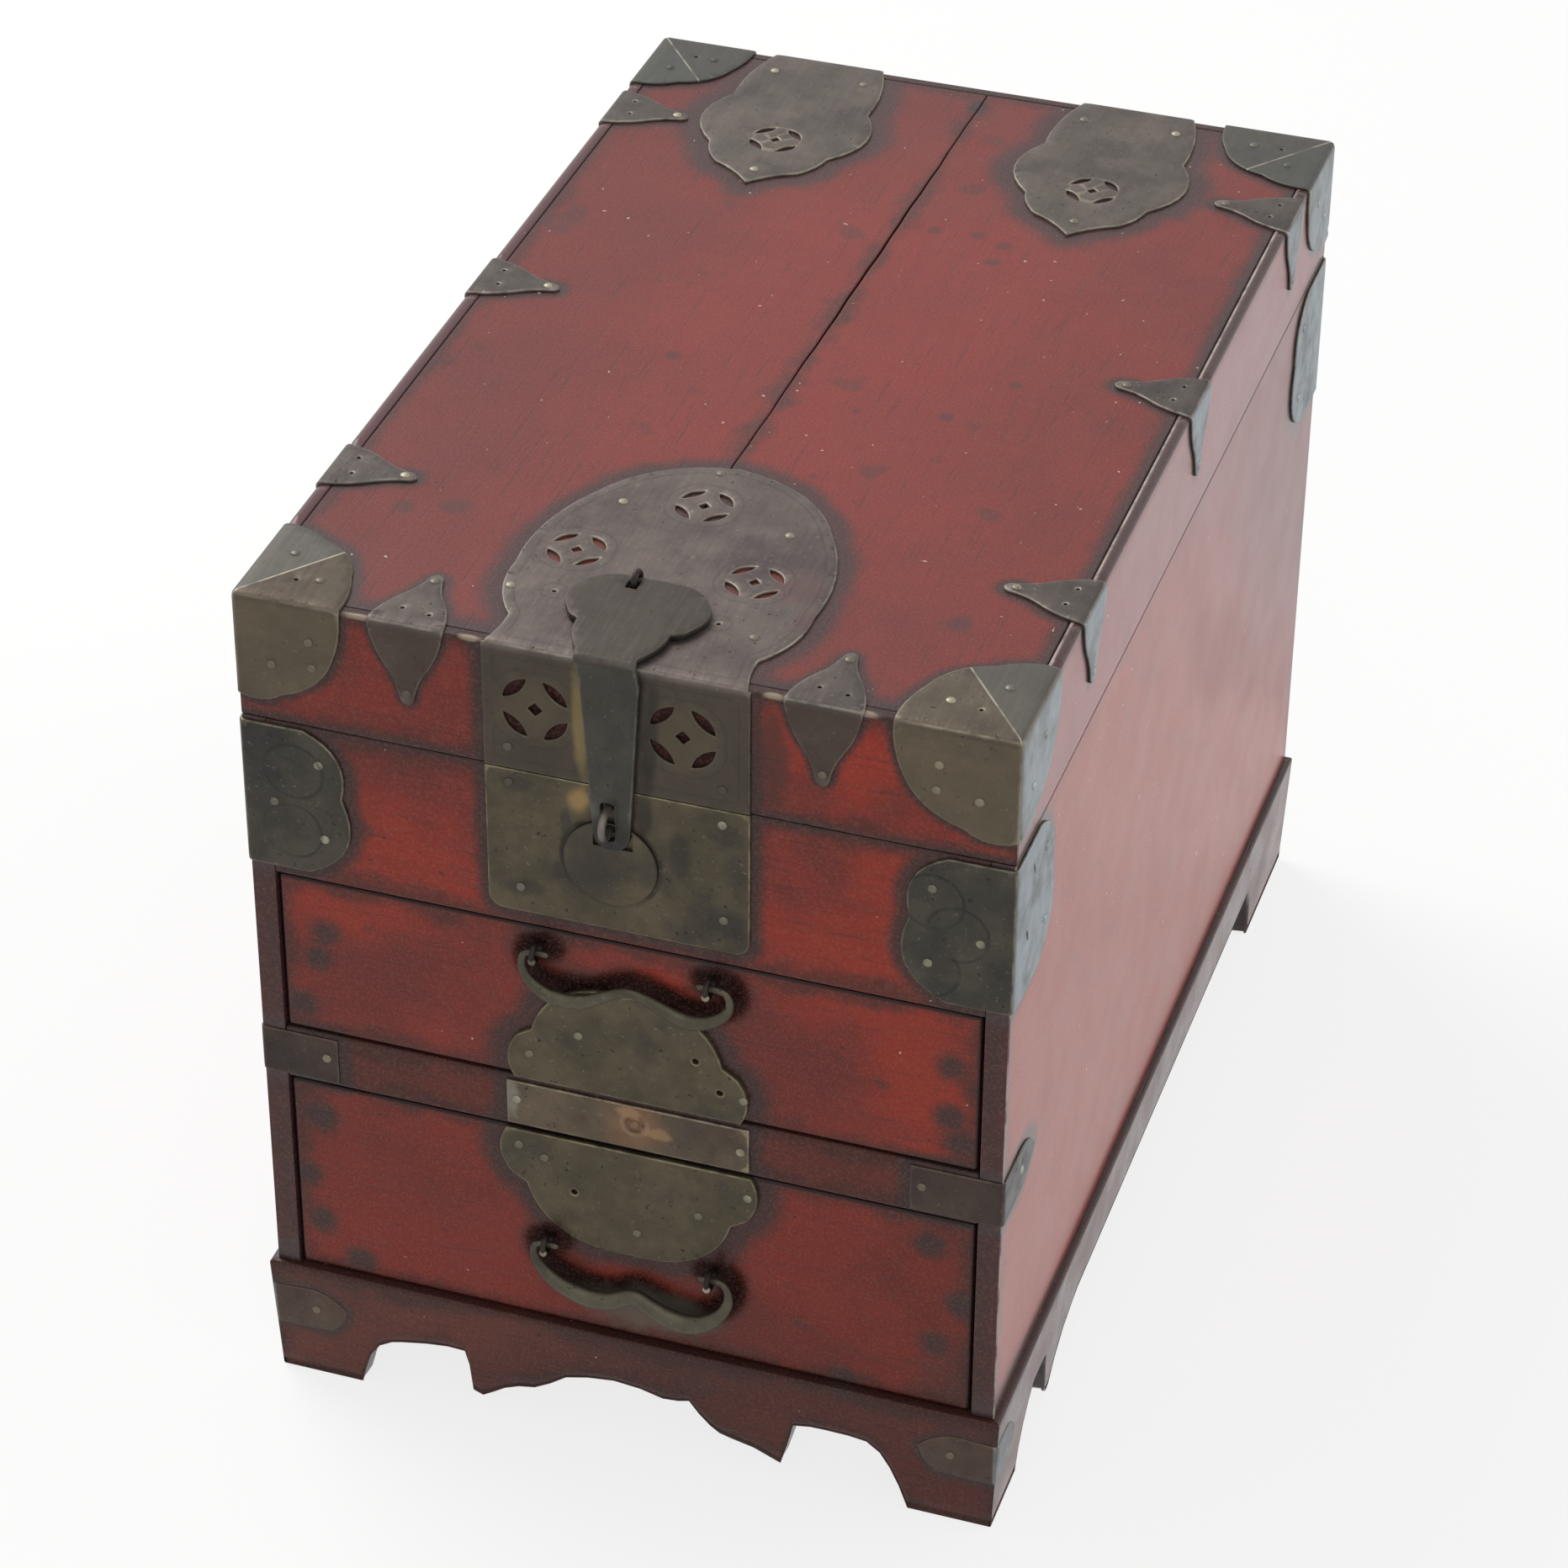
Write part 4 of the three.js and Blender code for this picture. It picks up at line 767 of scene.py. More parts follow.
def sheet_metal(outer, holes, lay, thickness=SHEET, floor=-0.1, folds=((), ()), step=3.0, seam=None):
    """A flat drawing becomes a closed sheet: rings round every outline climb its rounded rim, a Delaunay net
    fills the rest, with rows at the folds, and lay(drawing, height) puts it all on the box. Its points carry
    their distance from the rim or a fold."""
    section = ((0, floor), (0, thickness - 0.28), (0.08, thickness - 0.08), (0.28, thickness))
    loops = [evened(line) for line in [outer, *holes]]
    loops = [line if (area_of(line) > 0) == (i == 0) else line[::-1] for i, line in enumerate(loops)]
    flat, height, rim, faces, starts, count = [], [], [], [], [], 0
    for line in loops:
        held = np.zeros(len(line), bool) if seam is None else seam(line)
        for inset, level in section:
            flat.append(np.where(held[:, None], line, moved_in(line, inset)))
            height.append(np.where(held, thickness if inset else level, level))
            rim.append(np.where(held, FAR_FROM_RIM, inset))
        strip = grid_faces(len(section), len(line), count, closed=True).reshape(3, -1, 4)
        faces.append(strip[:, ~(held & np.roll(held, -1))].reshape(-1, 4))
        starts.append(count + 3 * len(line))
        count += 4 * len(line)
    flat, height, rim = np.concatenate(flat), np.concatenate(height), np.concatenate(rim)
    inner_rings = [start + np.arange(len(line)) for start, line in zip(starts, loops)]
    inner = [flat[ring] for ring in inner_rings]
    axes = []
    for k in (0, 1):
        even = np.arange(loops[0][:, k].min() + step / 2, loops[0][:, k].max(), step)
        rows = np.array([fold + FOLD_STEPS for fold in folds[k]]).ravel()
        if len(rows):
            even = even[np.abs(even[:, None] - rows).min(1) > 0.8]
        axes.append(np.concatenate([even, rows]))
    net = np.stack(np.meshgrid(*axes, indexing="ij"), -1).reshape(-1, 2)
    net = net[within(net, inner) & (nearest(net, np.concatenate(loops)) > 0.75)]
    if seam is not None:
        net = net[~seam(net)]
    rings = np.concatenate(inner_rings)
    spots = np.concatenate([flat[rings], net])
    edges, start = [], 0
    for ring in inner_rings:
        number = start + np.arange(len(ring))
        edges.append(np.stack([number, np.roll(number, -1)], 1))
        start += len(ring)
    out = delaunay_2d_cdt([Vector(spot) for spot in spots.tolist()], np.concatenate(edges).tolist(), [], 0,
                          1e-5)
    source = np.array([origin[0] if origin else -1 for origin in out[3]])
    triangles = source[np.array([face for face in out[2] if len(face) == 3])]
    triangles = triangles[(triangles >= 0).all(1)]
    triangles = triangles[within(spots[triangles].mean(1), inner)]
    number = np.concatenate([rings, count + np.arange(len(net))])
    under = count + len(net) + np.arange(len(spots))
    flat = np.concatenate([flat, net, spots])
    height = np.concatenate([height, np.full(len(net), thickness), np.full(len(spots), floor)])
    rim = np.concatenate([rim, nearest(net, np.concatenate(loops)), np.full(len(spots), FAR_FROM_RIM)])
    for k in (0, 1):
        for fold in folds[k]:
            rim = np.minimum(rim, np.abs(flat[:, k] - fold) + 0.12)
    faces = np.concatenate(faces).tolist() + number[triangles].tolist() + under[triangles[:, ::-1]].tolist()
    for ring, edge in zip(inner_rings, edges):
        lower = under[edge[:, 0]]
        foot = ring - 3 * len(ring)
        faces += np.stack([lower, np.roll(lower, -1), np.roll(foot, -1), foot], 1).tolist()
    points = lay(flat, height)
    top = number[triangles[0]]
    normal = np.cross(points[top[1]] - points[top[0]], points[top[2]] - points[top[0]])
    if normal @ (lay(flat[top], height[top] + 1) - points[top])[0] < 0:
        faces = [face[::-1] for face in faces]
    return shell(points, faces, rim)


def nail_heads(places, lay, height=SHEET, radius=1.25, rise=0.5):
    """Low domes with eight sides: rise * cos(90 degrees * distance / radius), set on a sheet."""
    places = np.array(places, float).reshape(-1, 2)
    share = np.array([1.0, 0.96, 0.75, 0.4, 0.0])
    level = np.array([-0.1, 0.35, 0.7, 0.93, 1.0]) * rise
    turn = np.linspace(0, 2 * np.pi, 8, endpoint=False)
    ring = radius * share[:, None, None] * np.stack([np.cos(turn), np.sin(turn)], 1)
    flat = (places[:, None, None] + ring).reshape(-1, 2)
    tall = np.broadcast_to((height + level)[None, :, None], (len(places), 5, 8)).ravel()
    faces = np.concatenate([grid_faces(5, 8, 40 * i, closed=True) for i in range(len(places))])
    points = lay(flat, tall)
    a, b, c, _ = points[faces[0]]
    if np.cross(b - a, c - a) @ (lay(flat[:1], tall[:1] + 1) - points[:1])[0] < 0:
        faces = faces[:, ::-1]
    return shell(*welded(points, faces), head=1.0)


def joined(*shells):
    """Several shells become one."""
    faces, start = [], 0
    for one in shells:
        faces += [[number + start for number in face] for face in one[1]]
        start += len(one[0])
    points, _, rim, head = zip(*shells)
    return np.concatenate(points), faces, np.concatenate(rim), np.concatenate(head)


def metal_piece(name, body, node, shells, material, slot="dark_brass"):
    """Shells joined into one piece of metal, in place of its CAD solid. Gives its points."""
    points, faces, rim, head = welded(*joined(*shells))
    piece_of(name, points, faces, body, material, slot, [node], rim=rim, head=head)
    return points


def patina(name, low, high, grime_and_shade, wear_and_highlight, rough=0.42):
    """Old brass: a mottled film from one tone to another, dirt in soft patches, fine pits and scratches, rims
    and folds lighter, partly worn and partly a painted highlight, and nail heads lighter still."""
    material, tree, shader = new_material(name)
    pits = step_up(cloud(tree, 700, 2, 0.5, offset=(5, 2, 7)), 0.68, 0.74)
    broken = step_up(cloud(tree, 160, 3, 0.6), 0.38, 0.62, 0.85, 0.25)
    heads = step_up(cloud(tree, 60, 1, 0.5, offset=(9, 4, 1)), 0.42, 0.6, 0.85, 0.25)
    colour = low
    for share, over in (
            (step_up(cloud(tree, 75, 5, 0.62), 0.34, 0.68), high),
            (step_up(cloud(tree, 38, 4, 0.6, offset=(3, 1, 2)), 0.47, 0.7, 0.75), grime_and_shade),
            (step_up(cloud(tree, 900, 3, 0.7), 0.6, 0.78, 0.4), (150, 146, 132)),
            (times(pits, 0.75), (30, 27, 26)),
            # Rims and folds lighter: partly wear, partly a painted highlight.
            (times(step_up(attribute(tree, "rim"), 0.6, 0.05), broken), wear_and_highlight),
            (times(attribute(tree, "head"), heads), (158, 152, 132))):
        colour = laid_over(share, colour, over)
    height = plus(times(cloud(tree, 55, 3), 1.5), cloud(tree, 420, 2, 0.5, (1, 0.12, 1), (2, 2, 2)))
    fed(shader, {"Metallic": 0.7})
    finished(shader, colour, step_up(cloud(tree, 220, 4, 0.6), 0.3, 0.7, rough + 0.16, rough),
             plus(height, times(pits, -0.8)), 0.3)
    return material


OLIVE_TONES = ((72, 65, 51), (88, 79, 62), (54, 49, 46), (138, 130, 104))
brass = patina("olive_brass", *OLIVE_TONES)


def plate(name, body, node, outer, lay, nails, holes=(), more=(), material=brass, halo=9.0, **sheet):
    """One brass plate with its nails, in place of its CAD solid. It leaves a halo on the wood, which reaches
    less far on the upright faces."""
    shells = [sheet_metal(outer, holes, lay, **sheet), *more, nail_heads(nails, lay)]
    points = metal_piece(name, body, node, shells, material, "brass")
    on_top = points[:, 2] > LID_TOP
    for some, reach in ((points[on_top], halo), (points[~on_top], 0.65 * halo)):
        if len(some):
            haloes.append((some[::2], reach))


def laid(place, box=(HALF_WIDTH, HALF_DEPTH, LID_TOP), radius=ARRIS):
    """Lays a drawing on a rounded box: place(u, v) is where a point lies on the sharp one."""
    return lambda flat, height: wrapped(np.stack(place(*flat.T), 1), height, box, radius)


def over_edge(face, box=(HALF_WIDTH, HALF_DEPTH, LID_TOP), radius=ARRIS):
    """Lays a drawing over a top edge: v runs back over the top, and below zero down the face."""
    facing, _, side, _ = wall(face)

    def place(u, v):
        back, level = side * (box[facing] - np.maximum(v, 0)), box[2] + np.minimum(v, 0)
        return (u, back, level) if facing else (back, u, level)
    return laid(place, box, radius)


# The lid's front plate: a lobed cloud with three pierced coins on the top, folded over the edge into the
# upper half of the square lock plate, which has a coin on each side of the strap.
LOCK_X, LOCK_HALF, CLOUD_HALF, CLOUD_REACH = -0.9, 32.6, 38.0, 90.0
PLATE_Y = -HALF_DEPTH - SHEET
CLOUD_LOBES = [(0.84, 0, -0.05), (0.8, 0.13, 0.1), (0.97, 0.37, 0.08), (0.8, 0.75, 0.14), (0, 0.995, 0)]
cloud_line = leaf(CLOUD_LOBES, CLOUD_HALF, CLOUD_REACH - SHEET) + (LOCK_X, 0)
front_half = [(LOCK_X - LOCK_HALF, 0), (LOCK_X - LOCK_HALF, LID_BOTTOM - LID_TOP),
              (LOCK_X + LOCK_HALF, LID_BOTTOM - LID_TOP), (LOCK_X + LOCK_HALF, 0)]
cloud_nails = [(-4.9, 85.3), (-22.8, 65.8), (19.6, 64.1), (-35.1, 22.9), (25.6, 20.2), (-27.5, -27.6),
               (25, -28)]
cloud_coins = [(LOCK_X + share * CLOUD_HALF, back * CLOUD_REACH - SHEET)
               for share, back in ((-0.66, 0.48), (-0.08, 0.79), (0.5, 0.48))]
cloud_holes = [hole for spot in cloud_coins for hole in coin(*spot)]
cloud_holes += coin(LOCK_X - 19.6, -15.9, 9.1) + coin(LOCK_X + 16.4, -15.7, 9.1)
cloud_holes += [round_hole(-24.6, 23.9), round_hole(15.9, 23.1)]
cloud_brass = patina("cloud_brass", (82, 74, 70), (98, 88, 83), (66, 57, 58), (140, 134, 122))
cloud_tree = cloud_brass.node_tree
for x, y in ((29, -107), (38, -119)):
    patch(cloud_brass, (92, 66, 66), (x, y, LID_TOP), (9, 9, 5), 0.5)
film(step_up(axes_of(cloud_tree)[2], LID_LEVEL - 0.0002, LID_LEVEL - 0.0016, 0.75), 64, 56, 45)
for x, z in ((-20.5, 221.5), (15.5, 221.7)):
    patch(cloud_brass, (94, 86, 64), (x, PLATE_Y, z), (13, 3, 12), 0.35, fray=0.6)
    # A painted shade in the wood seen through this coin.
    mark(sooted, x, z, 14.0)
# A painted shadow of the hasp's strap, a dark streak down its right side.
patch(cloud_brass, (40, 36, 33), (7.6, PLATE_Y, 219), (2.8, 3, 22), 0.7, (0, 4, 0), 0.3)
film(step_up(off(attribute(cloud_tree, "rim"), 2.7), 0.5, 0.1, 0.3), 52, 46, 46)
patch(cloud_brass, (132, 115, 74), (-9.6, PLATE_Y, 219), (2.6, 3, 20), 0.65, (0, -2.4, 0), 0.35)
plate("cloud_plate", "lid", "lid_front_plate", np.concatenate([cloud_line, front_half]), over_edge("front"),
      cloud_nails, cloud_holes, material=cloud_brass, folds=((), (0,)), halo=9, step=1.8)

# The lower half of the lock plate on the case: round lower corners, and a raised round escutcheon that is
# notched for the strap's end.
DISC_X, DISC_Z, DISC_RADIUS = -2.4, 182.5, 11.7
STAPLE_Z, STAPLE_HALF = 195.3, 3.3
LOCK_CORNERS = [(0.9, 0, 0.2), (1, 0.1, 0), (1, 1, 0)]
LOCK_FOOT, LOCK_TALL = 163, 40.5


def on_front(flat, height):
    """Lays a drawing (x, z) on the front."""
    return np.stack([flat[:, 0], -HALF_DEPTH - height, flat[:, 1]], 1)


def reach_from(tree, centre):
    """The distance in metres from a place on the box (millimetres)."""
    return node_in(tree, "ShaderNodeVectorMath", {0: object_place(tree), 1: tuple(in_metres(centre))},
                   operation="DISTANCE").outputs["Value"]


def ring(material, centre, radius, half, share, *over):
    """Lays a tone in a broken circle round a place on the box (millimetres), on whatever face it meets."""
    tree = material.node_tree
    from_line = off(reach_from(tree, centre), radius / 1000)
    broken = step_up(cloud(tree, 90, 3, 0.6, offset=(6, 2, 4)), 0.4, 0.6, share, share * 0.2)
    film(times(step_up(from_line, half / 1000, 0.2 * half / 1000), broken), *over)


lock_line = drawn(both_halves(LOCK_CORNERS), LOCK_HALF, LOCK_TALL) + (LOCK_X, LOCK_FOOT)
turn = np.linspace(np.arccos(-4.4 / DISC_RADIUS), np.arccos(6 / DISC_RADIUS) - 2 * np.pi, 60)
disc_line = np.stack([DISC_X + DISC_RADIUS * np.cos(turn), DISC_Z + DISC_RADIUS * np.sin(turn)], 1)
disc_line = np.concatenate([disc_line, [(3.6, 187.1), (-6.8, 187.1)]])
disc = shell(*sheet_metal(disc_line, [], on_front, thickness=1.7, floor=0.7)[:2])
staple_holes = [round_hole(DISC_X, STAPLE_Z + s * STAPLE_HALF, 1.1) for s in (-1, 1)]
lock_brass = patina("lock_brass", *OLIVE_TONES)
# A painted shade in a broken ring round the foot of the raised disc.
ring(lock_brass, (DISC_X, PLATE_Y, DISC_Z), 12.2, 1.1, 0.8, 34, 30, 28)
patch(lock_brass, (146, 120, 76), (-10, PLATE_Y, 199), (3.6, 3, 5.5), 0.8, (0, 10, 0), 0.4)
# A painted shadow of the hasp's strap, a dark streak down its right side.
patch(lock_brass, (40, 36, 33), (6, PLATE_Y, 197), (2.8, 3, 9), 0.7, (0, 4, 0), 0.3)
for x, z, half, tall in ((-24, 170.4, 6.5, 3.6), (26, 171.5, 7, 6), (26.5, 196, 6, 5), (14.5, 188, 4, 9),
                         (-13.6, 191, 2, 6), (-26, 200, 8, 3), (-14, 177, 5, 4)):
    patch(lock_brass, (50, 46, 43), (x, PLATE_Y, z), (half, 3, tall), 0.6, fray=0.6)
plate("lock_plate", "carcass", "case_lock_plate", lock_line, on_front,
      [(-25.2, 170.1), (25.3, 172.3), (25, 199.5), (-27.5, 199.8)], staple_holes, [disc], lock_brass, 8.5)

# The lid's corner caps: a lobed leaf on the top and a flap down both walls, from one piece of sheet. A light
# lap line runs aslant from the corner over the top, and the leaf on its flank side is greyer.
CAP_LEAF = [(0, 0, 0), (1, 0, 0.06), (0.9, 0.46, 0.14), (0.46, 0.87, 0.1), (0, 1, 0)]
CAP_FLAP = [(0, 0, 0), (1, 0, 0.05), (0.95, 0.4, 0.14), (0.42, 0.9, 0.14), (0, 0.95, 0)]
CAP_DROP = 28.7


def painted_flank_sheen(material, share=0.85):
    """The brass on the box's two sides is painted paler and bluer, unevenly: a painted reflection of the pale
    room.
    """
    tree = material.node_tree
    film(times(step_up(maths("ABSOLUTE", axes_of(tree)[0]), 0.0952, 0.0959, share),
               step_up(cloud(tree, 90, 4, 0.6, offset=(8, 1, 5)), 0.3, 0.6, 1.0, 0.5)), 150, 160, 166)
    return material


cap_brass = painted_flank_sheen(patina("cap_brass", (78, 70, 59), (93, 84, 71), (62, 55, 51), (146, 138, 118)))
cap_tree = cap_brass.node_tree
x, y, z = axes_of(cap_tree)
out = maths("ABSOLUTE", x)
back = maths("SUBTRACT", HALF_DEPTH / 1000, off(y, MIDDLE_Y))
past_lap = maths("SUBTRACT", times(back, 0.78), maths("SUBTRACT", HALF_WIDTH / 1000, out))
on_top = step_up(z, LID_LEVEL - 0.0004, LID_LEVEL + 0.0004)
lap = step_up(maths("ABSOLUTE", past_lap), 0.00045, 0.0001)
lap = times(lap, step_up(cloud(cap_tree, 200, 2), 0.35, 0.6, 0.8, 0.2))
film(times(step_up(x, 0.01, -0.01, 0.55), on_top), 62, 52, 44)
below = step_up(z, LID_LEVEL - 0.0004, LID_LEVEL - 0.0014, 0.4)
film(times(below, step_up(out, 0.0953, 0.0949)), 102, 90, 72)
film(times(step_up(past_lap, -0.0001, 0.0003, 0.7), on_top), 86, 84, 80)
film(times(step_up(y, 0.05, 0.1, 0.75), on_top), 74, 75, 72)
film(times(lap, on_top), 168, 162, 146)


def on_cap(side, end):
    """Lays a drawing (a, b) on the lid's corner: inwards along both edges, and below zero down a face."""
    return laid(lambda a, b: (side * (HALF_WIDTH - np.maximum(a, 0)), end * (HALF_DEPTH - np.maximum(b, 0)),
                              LID_TOP + np.minimum(a, 0) + np.minimum(b, 0)))


def cap_seam(flat):
    """True on the two sides of the drawing that meet at the upright corner."""
    at_edge = (np.abs(flat) < 1e-6) & (flat[:, ::-1] < 1e-6)
    return at_edge.any(1)


for end_name, end, reach in (("front", -1, 31.2), ("rear", 1, 28.2)):
    for side_name, side, across in (("left", -1, 26.4), ("right", 1, 29.6)):
        corner = end_name + "_" + side_name
        top_leaf = drawn(CAP_LEAF, across, reach)[8:33]
        front_flap = drawn(CAP_FLAP, across, CAP_DROP)[9:33][::-1] * (1, -1)
        side_flap = drawn(CAP_FLAP, reach, CAP_DROP)[9:33][:, ::-1] * (-1, 1)
        line = np.concatenate([top_leaf, side_flap, [(0, 0)], front_flap])
        nails = [(0.66 * across, 0.33 * reach), (0.28 * across, 0.62 * reach), (18.6, -9.4), (8.9, -17.4),
                 (19.1, -16.4), (-9.4, 0.6 * reach), (-17.4, 0.3 * reach)]
        plate("lid_cap_" + corner, "lid", "lid_corner_" + corner, line, on_cap(side, end), nails,
              [round_hole(12, 9)], material=cap_brass, folds=((0,), (0,)), seam=cap_seam, halo=5.0)

# Edge clips: two pointed leaves of one piece of sheet, folded over the lid's edge, two at the front and
# three on each side. One nail near each point holds them, and two small holes have lost theirs.
clip_brass = patina("clip_brass", (70, 63, 60), (84, 76, 71), (56, 50, 50), (136, 130, 120))
film(step_up(axes_of(clip_brass.node_tree)[2], LID_LEVEL - 0.0002, LID_LEVEL - 0.0012, 0.5), 70, 53, 42)
painted_flank_sheen(clip_brass)
CLIP_REACH = 21.7
clip_half = leaf([(1, 0, 0.06), (0.52, 0.55, -0.05), (0.19, 0.91, 0.16), (0, 1, 0)], CLIP_HALF, CLIP_REACH)
clip_line = np.concatenate([clip_half, clip_half[-2:0:-1] * (1, -1)])
clips = [("front", 1, -52.25), ("front", 2, 48.9)]
clips += [(name, i + 1, place) for name, _ in SIDES for i, place in enumerate(SIDE_CLIPS)]
for face, number, place in clips:
    name = f"clip_{face}_{number}"
    plate(name, "lid", "lid_" + name, clip_line + (place, 0), over_edge(face),
          [(place, 18.6), (place, -18.4)], [round_hole(place + 4, 5), round_hole(place - 3, 6)],
          material=clip_brass, folds=((), (0,)), halo=4.2 if face == "front" else 5.0, step=2.4)

# Corner straps: sheet with two lobes on each face, folded round the case's upper corners and held by five
# nails. On the front they are engraved with circles in their lobes.
corner_brass = painted_flank_sheen(patina("corner_brass", (60, 57, 50), (74, 69, 60), (46, 44, 44), (128, 122, 104)))
for x, z in ((75.8, 189.8), (75.2, 170.4), (82, 181.7), (-82.2, 190.3), (-83.2, 173)):
    ring(corner_brass, (x, PLATE_Y, z), 7.5, 0.7, 0.6, 38, 36, 36)
for y, z in ((-141, 178.2), (-136.5, 194)):
    patch(corner_brass, (18, 17, 18), (95.8, y, z), (2, 0.9, 2.6), 0.95, (25, 0, 0), 0.2, 0.5)
CORNER = [(0, 0, 0), (0.58, 0, 0.22), (0.92, 0.44, 0.24), (0.58, 1, 0), (0, 1, 0)]
CORNER_FRONT, CORNER_FLANK, CORNER_TALL, CORNER_TOP = 27, 33, 41, 202.5


def round_corner(side, end):
    """Lays a drawing (a, level) round an upright corner: a runs inwards along the front or back, and below
    zero along the flank."""
    return laid(lambda a, level: (side * (HALF_WIDTH - np.maximum(a, 0)),
                                  end * (HALF_DEPTH + np.minimum(a, 0)), level),
                (HALF_WIDTH, HALF_DEPTH, 1e5))


for end_name, end in (("front", -1), ("rear", 1)):
    for side_name, side in SIDES:
        front = drawn(CORNER, CORNER_FRONT, CORNER_TALL)[8:33]
        flank = drawn(CORNER, CORNER_FLANK, CORNER_TALL)[8:32][::-1] * (-1, 1)
        line = np.concatenate([front, flank]) * (1, -1) + (0, CORNER_TOP)
        nails = [(19.4, 193.5), (20, 172.2), (-23.8, 193.5), (-24.4, 172.2), (7.5, 180.5)]
        corner = f"case_corner_{end_name}_{side_name}"
        plate(corner, "carcass", corner, line, round_corner(side, end), nails, material=corner_brass,
              folds=((0,), ()))

# Hinges on the back: a lobed leaf over the lid's edge, a small leaf on the case, and rolled knuckles round a
# pin. The leaf's outline is the CAD one, and its coin is pierced like the others.
HINGE = [(0.74, 0, 0.06), (0.93, 0.36, 0.2), (0.8, 0.74, 0.08), (0.55, 0.88, -0.06), (0, 1, 0)]
CASE_LEAF = [(1, 0, 0), (1, 0.5, 0.12), (0.6, 0.8, 0.1), (0, 1, 0)]
LEAF_HALF, LEAF_REACH, CASE_LEAF_HALF, CASE_LEAF_DROP, KNUCKLE = 20.71, 73.2, 15.3, 34, 2.6
LEAF_COIN = 0.66 * (LEAF_REACH + SHEET) - SHEET
TAB_IN, TAB_OUT = 5.3, 15.15
grey_brass = patina("grey_brass", (82, 75, 70), (98, 89, 82), (66, 58, 58), (140, 134, 120))


def pin_place(name):
    """Both ends of a hinge pin along x, and its y and z, in millimetres, as in its CAD solid."""
    low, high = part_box("hinge_pin_" + name)
    return low.x * 1000, high.x * 1000, (low.y + high.y) * 500 - MIDDLE_Y * 1000, (low.z + high.z) * 500


def knuckle(x, half, y, z, outer=2.14, bore=1.3):
    """A tube along x: outer radius, round lips and bore, as one closed profile turned round its axis."""
    a, r = np.array([(-half, bore), (-half, outer - 0.3), (0.3 - half, outer), (half - 0.3, outer),
                     (half, outer - 0.3), (half, bore)]).T
    turn = np.linspace(0, 2 * np.pi, 20, endpoint=False)[:, None]
    points = np.stack([x + a + 0 * turn, y + r * np.cos(turn), z + r * np.sin(turn)], -1).reshape(-1, 3)
    return shell(points, (grid_faces(21, 6, closed=True, turned=True) % 120).tolist(), 0.3)


for name, x in (("left", -46.93), ("right", 41.23)):
    _, _, pin_y, pin_z = pin_place(name)
    top = pin_z - LID_TOP + KNUCKLE
    tab = [(-CASE_LEAF_HALF, top), (-5, top), (-5, top - KNUCKLE), (5, top - KNUCKLE), (5, top),
           (CASE_LEAF_HALF, top)]
    line = np.concatenate([leaf(HINGE, LEAF_HALF, LEAF_REACH), tab]) + (x, 0)
    nails = [(x, 0.9 * LEAF_REACH), (x - 12.8, 10), (x + 12.8, 10), (x - 10, -16), (x + 10, -16)]
    plate("hinge_leaf_" + name, "lid", "lid_hinge_leaf_" + name, line, over_edge("back"), nails,
          coin(x, LEAF_COIN), [knuckle(x, 5, pin_y, pin_z)], grey_brass, 11, folds=((), (0,)))
    below = leaf(CASE_LEAF, CASE_LEAF_HALF, CASE_LEAF_DROP) * (1, -1)
    tabs = [(side * u, v) for side, u, v in (
        (-1, TAB_OUT, 0), (-1, TAB_OUT, KNUCKLE), (-1, TAB_IN, KNUCKLE), (-1, TAB_IN, 0),
        (1, TAB_IN, 0), (1, TAB_IN, KNUCKLE), (1, TAB_OUT, KNUCKLE), (1, TAB_OUT, 0))]
    line = np.concatenate([below, tabs]) + (x, pin_z - KNUCKLE)
    nails = [(x - 9.2, pin_z - 16), (x + 9.2, pin_z - 16), (x, pin_z - 30)]
    plate("hinge_case_leaf_" + name, "carcass", "case_hinge_leaf_" + name, line,
          lambda flat, height: on_front(flat, height) * (1, -1, 1), nails,
          more=[knuckle(x + s * 10.2, 4.9, pin_y, pin_z) for s in (-1, 1)])

# Rail strip: a plain oblong of sheet, held by three nails on the rail between the drawers. It has rusted
# orange round its middle nail.
rusty = patina("rusted_brass", (80, 72, 60), (100, 86, 70), (64, 54, 48), (156, 146, 126))
middle_nail = (2.5, PLATE_Y, 105.3)
from_nail = reach_from(rusty.node_tree, middle_nail)
ragged = times(cloud(rusty.node_tree, 150, 4, 0.6), 0.016)
film(step_up(plus(from_nail, ragged), 0.019, 0.0095, 0.7), 126, 92, 66)
ring(rusty, middle_nail, 2.0, 0.9, 0.8, 50, 38, 32)
ring(rusty, middle_nail, 3.3, 0.9, 0.3, 160, 140, 116)
for x, z in ((0.6, 108.6), (8.6, 103.9)):
    patch(rusty, (150, 122, 92), (x, PLATE_Y, z), (4.5, 2, 2.2), 0.6, fray=1.2)
patch(rusty, (128, 124, 114), (-29.5, PLATE_Y, 105), (3, 3, 7), 0.7, (0, 0, 0), 0.9)
strip_line = np.array([(-30.6, 97.7), (31.6, 97.7), (31.6, 110.8), (-30.6, 110.8)])
plate("rail_strip", "carcass", "rail_plate", strip_line, on_front,
      [(-28, 105.4), (2.5, 105.3), (29.5, 103.8)], material=rusty)

